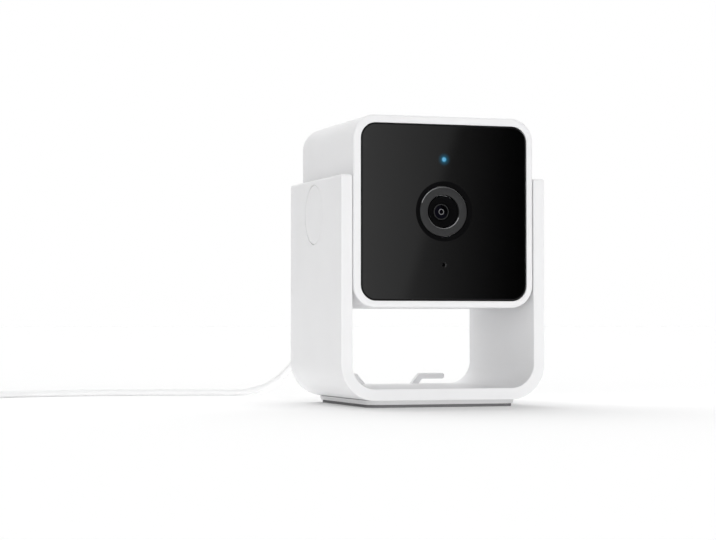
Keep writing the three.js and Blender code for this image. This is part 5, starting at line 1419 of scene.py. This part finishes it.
@dataclass
class Studio:
    """Camera, floor, world and the soft lights round the object."""

    camera_place: Point = (-199.8, -558.0, 22.95)
    yaw: float = 18.179
    rise: float = 1.536
    focal: float = 102.43
    floor_albedo: float = 0.88
    floor_seen: float = 0.11  # added to the floor where it is seen, away from the object; near the object it is left out, a painted shade round the foot
    seen_from: float = 26.0  # radii between which that comes in, mm
    seen_to: float = 62.0
    floor_glow: float = 0.29  # light that the lit table gives the object from below
    glow_full: float = 40.0  # radius up to which the table glows evenly, mm
    glow_end: float = 240.0  # radius where the glow has faded, mm
    floor_half: float = 20000.0
    card_y: float = -600.0
    card_fade: tuple[float, float] = (154.0, 268.0)  # where the card's light starts to fall and ends, on X
    card_step: tuple[float, float] = (174.5, 184.5)  # soft edge of the second card, on X at the table's height
    card_lean: float = 0.3226  # how far that edge goes right per unit of height
    softboxes: tuple[Softbox, ...] = (
        Softbox((0.0, -1.0, 0.0), 1.0, 0.54),
        Softbox((0.0, 0.6, 0.8), 5.0, 2.77),
        Softbox((0.344, -0.934, 0.098), 16.0, 2.05),
        Softbox((-0.564, -0.82, 0.102), 16.0, 2.35),
        Softbox((0.0, 0.0, 1.0), 16.0, 1.2),
        Softbox((0.196, -0.979, -0.049), 20.0, 0.7),
        Softbox((1.0, 0.0, 0.0), 1.0, 0.24),
    )

    def camera(self) -> None:
        """Camera at the photograph's place, aimed by its yaw and its small upward tilt."""
        yaw, rise = math.radians(self.yaw), math.radians(self.rise)
        ahead = Vector((math.sin(yaw) * math.cos(rise), math.cos(yaw) * math.cos(rise), math.sin(rise)))
        data = bpy.data.cameras.new("view")
        data.lens, data.sensor_width = self.focal, 36.0
        data.clip_start, data.clip_end = 0.01, 50.0
        made = bpy.data.objects.new("view", data)
        bpy.context.scene.collection.objects.link(made)
        made.location = [value * MM for value in self.camera_place]
        made.rotation_mode = "QUATERNION"
        made.rotation_quaternion = ahead.to_track_quat("-Z", "Y")
        bpy.context.scene.camera = made

    def world(self) -> None:
        """Soft lights on the object, and plain white for what is seen directly or in gloss.

        Each softbox gives strength x cosine to the power of its focus, by the angle from its direction.
        """
        world = bpy.data.worlds.new("studio")
        bpy.context.scene.world = world
        world.use_nodes = True
        world.node_tree.nodes.clear()
        graph = Graph(world.node_tree)
        direction = graph.node("TexCoord", {}).outputs["Generated"]
        total: Socket | float = 0.0
        for box in self.softboxes:
            towards = graph.node("VectorMath", {0: direction, 1: box.direction}, operation="DOT_PRODUCT")
            share = graph.math("POWER", graph.math("MAXIMUM", towards.outputs["Value"], 0.0), box.focus)
            total = graph.math("MULTIPLY_ADD", share, box.strength, total)
        lit, shown = (
            graph.node("Background", {"Color": (*WHITE, 1.0), "Strength": strength}).outputs[0]
            for strength in (total, 1.0)
        )
        mixed = graph.node("MixShader", {0: graph.seen(), 1: lit, 2: shown}).outputs[0]
        graph.node("OutputWorld", {"Surface": mixed})

    def plane(self, name: str, corners: Sequence[Point], shader: Shader) -> Object:
        """A flat stage piece with one face.

        Args:
            name: Its name.
            corners: Its four corners, mm.
            shader: Its material, under construction.

        Returns:
            The object.
        """
        mesh = bpy.data.meshes.new(name)
        mesh.from_pydata((np.array(corners) * MM).tolist(), [], [(0, 1, 2, 3)])
        made = bpy.data.objects.new(name, mesh)
        bpy.context.scene.collection.objects.link(made)
        mesh.materials.append(shader.material)
        return made

    def floor(self) -> None:
        """Wide white table that keeps the object's shadow and lights the object's underside; where seen it is lifted
        to white only away from the object, a painted shade round the foot.
        """
        grey = (*[self.floor_albedo] * 3, 1.0)
        shader = Shader("white table", Base_Color=grey, Roughness=0.9, Specular_IOR_Level=0.0,
                        Emission_Color=(*WHITE, 1.0))
        away = shader.distance()
        glow = shader.spread(away, self.glow_full * MM, self.glow_end * MM, self.floor_glow, 0.0, "SMOOTHSTEP")
        # Painted shade: the seen floor gets no lift near the object, so it is darker round the foot than the object's
        # shadow alone makes it.
        lift = shader.spread(away, self.seen_from * MM, self.seen_to * MM, 0.0, self.floor_seen, "SMOOTHSTEP")
        shader.dress(Emission_Strength=shader.blend(shader.seen(), glow, lift))
        far = self.floor_half
        self.plane("floor", [(-far, -far, 0.0), (far, -far, 0.0), (far, far, 0.0), (-far, far, 0.0)], shader)

    def card(self) -> None:
        """Card right of the camera that only gloss sees: its light fades to the right across the panel.

        The light falls evenly from white to black along x. Right of a soft edge that leans with z it is
        0.9 times that value to the power of 1.6, as where a second card stands in front of the first.
        """
        shader = Shader("fading card", Base_Color=(*BLACK, 1.0), Roughness=1.0, Specular_IOR_Level=0.0,
                        Emission_Color=(*WHITE, 1.0))
        place = shader.node("SeparateXYZ", {0: shader.place()}).outputs
        even = shader.spread(place["X"], *(x * MM for x in self.card_fade), 1.0, 0.0)
        behind = shader.math("MULTIPLY", shader.math("POWER", even, 1.6), 0.9)
        upright = shader.math("MULTIPLY_ADD", place["Z"], -self.card_lean, place["X"])
        edge = shader.spread(upright, *(x * MM for x in self.card_step), kind="SMOOTHSTEP")
        shader.dress(Emission_Strength=shader.blend(edge, even, behind))
        y, left, right, low, high = self.card_y, 120.0, 1500.0, -200.0, 900.0
        made = self.plane("fading_card", [(left, y, low), (right, y, low), (right, y, high), (left, y, high)], shader)
        for ray in ("camera", "diffuse", "transmission", "volume_scatter", "shadow"):
            setattr(made, f"visible_{ray}", False)

    def build(self) -> None:
        """Set up the studio."""
        bpy.context.scene.view_settings.view_transform = "Standard"
        self.camera()
        self.world()
        self.floor()
        self.card()


def main() -> None:
    """Build the studio and the object."""
    logging.basicConfig(level=logging.INFO, format="%(name)s: %(message)s")
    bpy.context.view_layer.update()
    Studio().build()
    dress_nodes()
    Cord().build()
    Stand().build()
    Head().build()
    Lens().build()


if __name__ == "__main__":
    main()
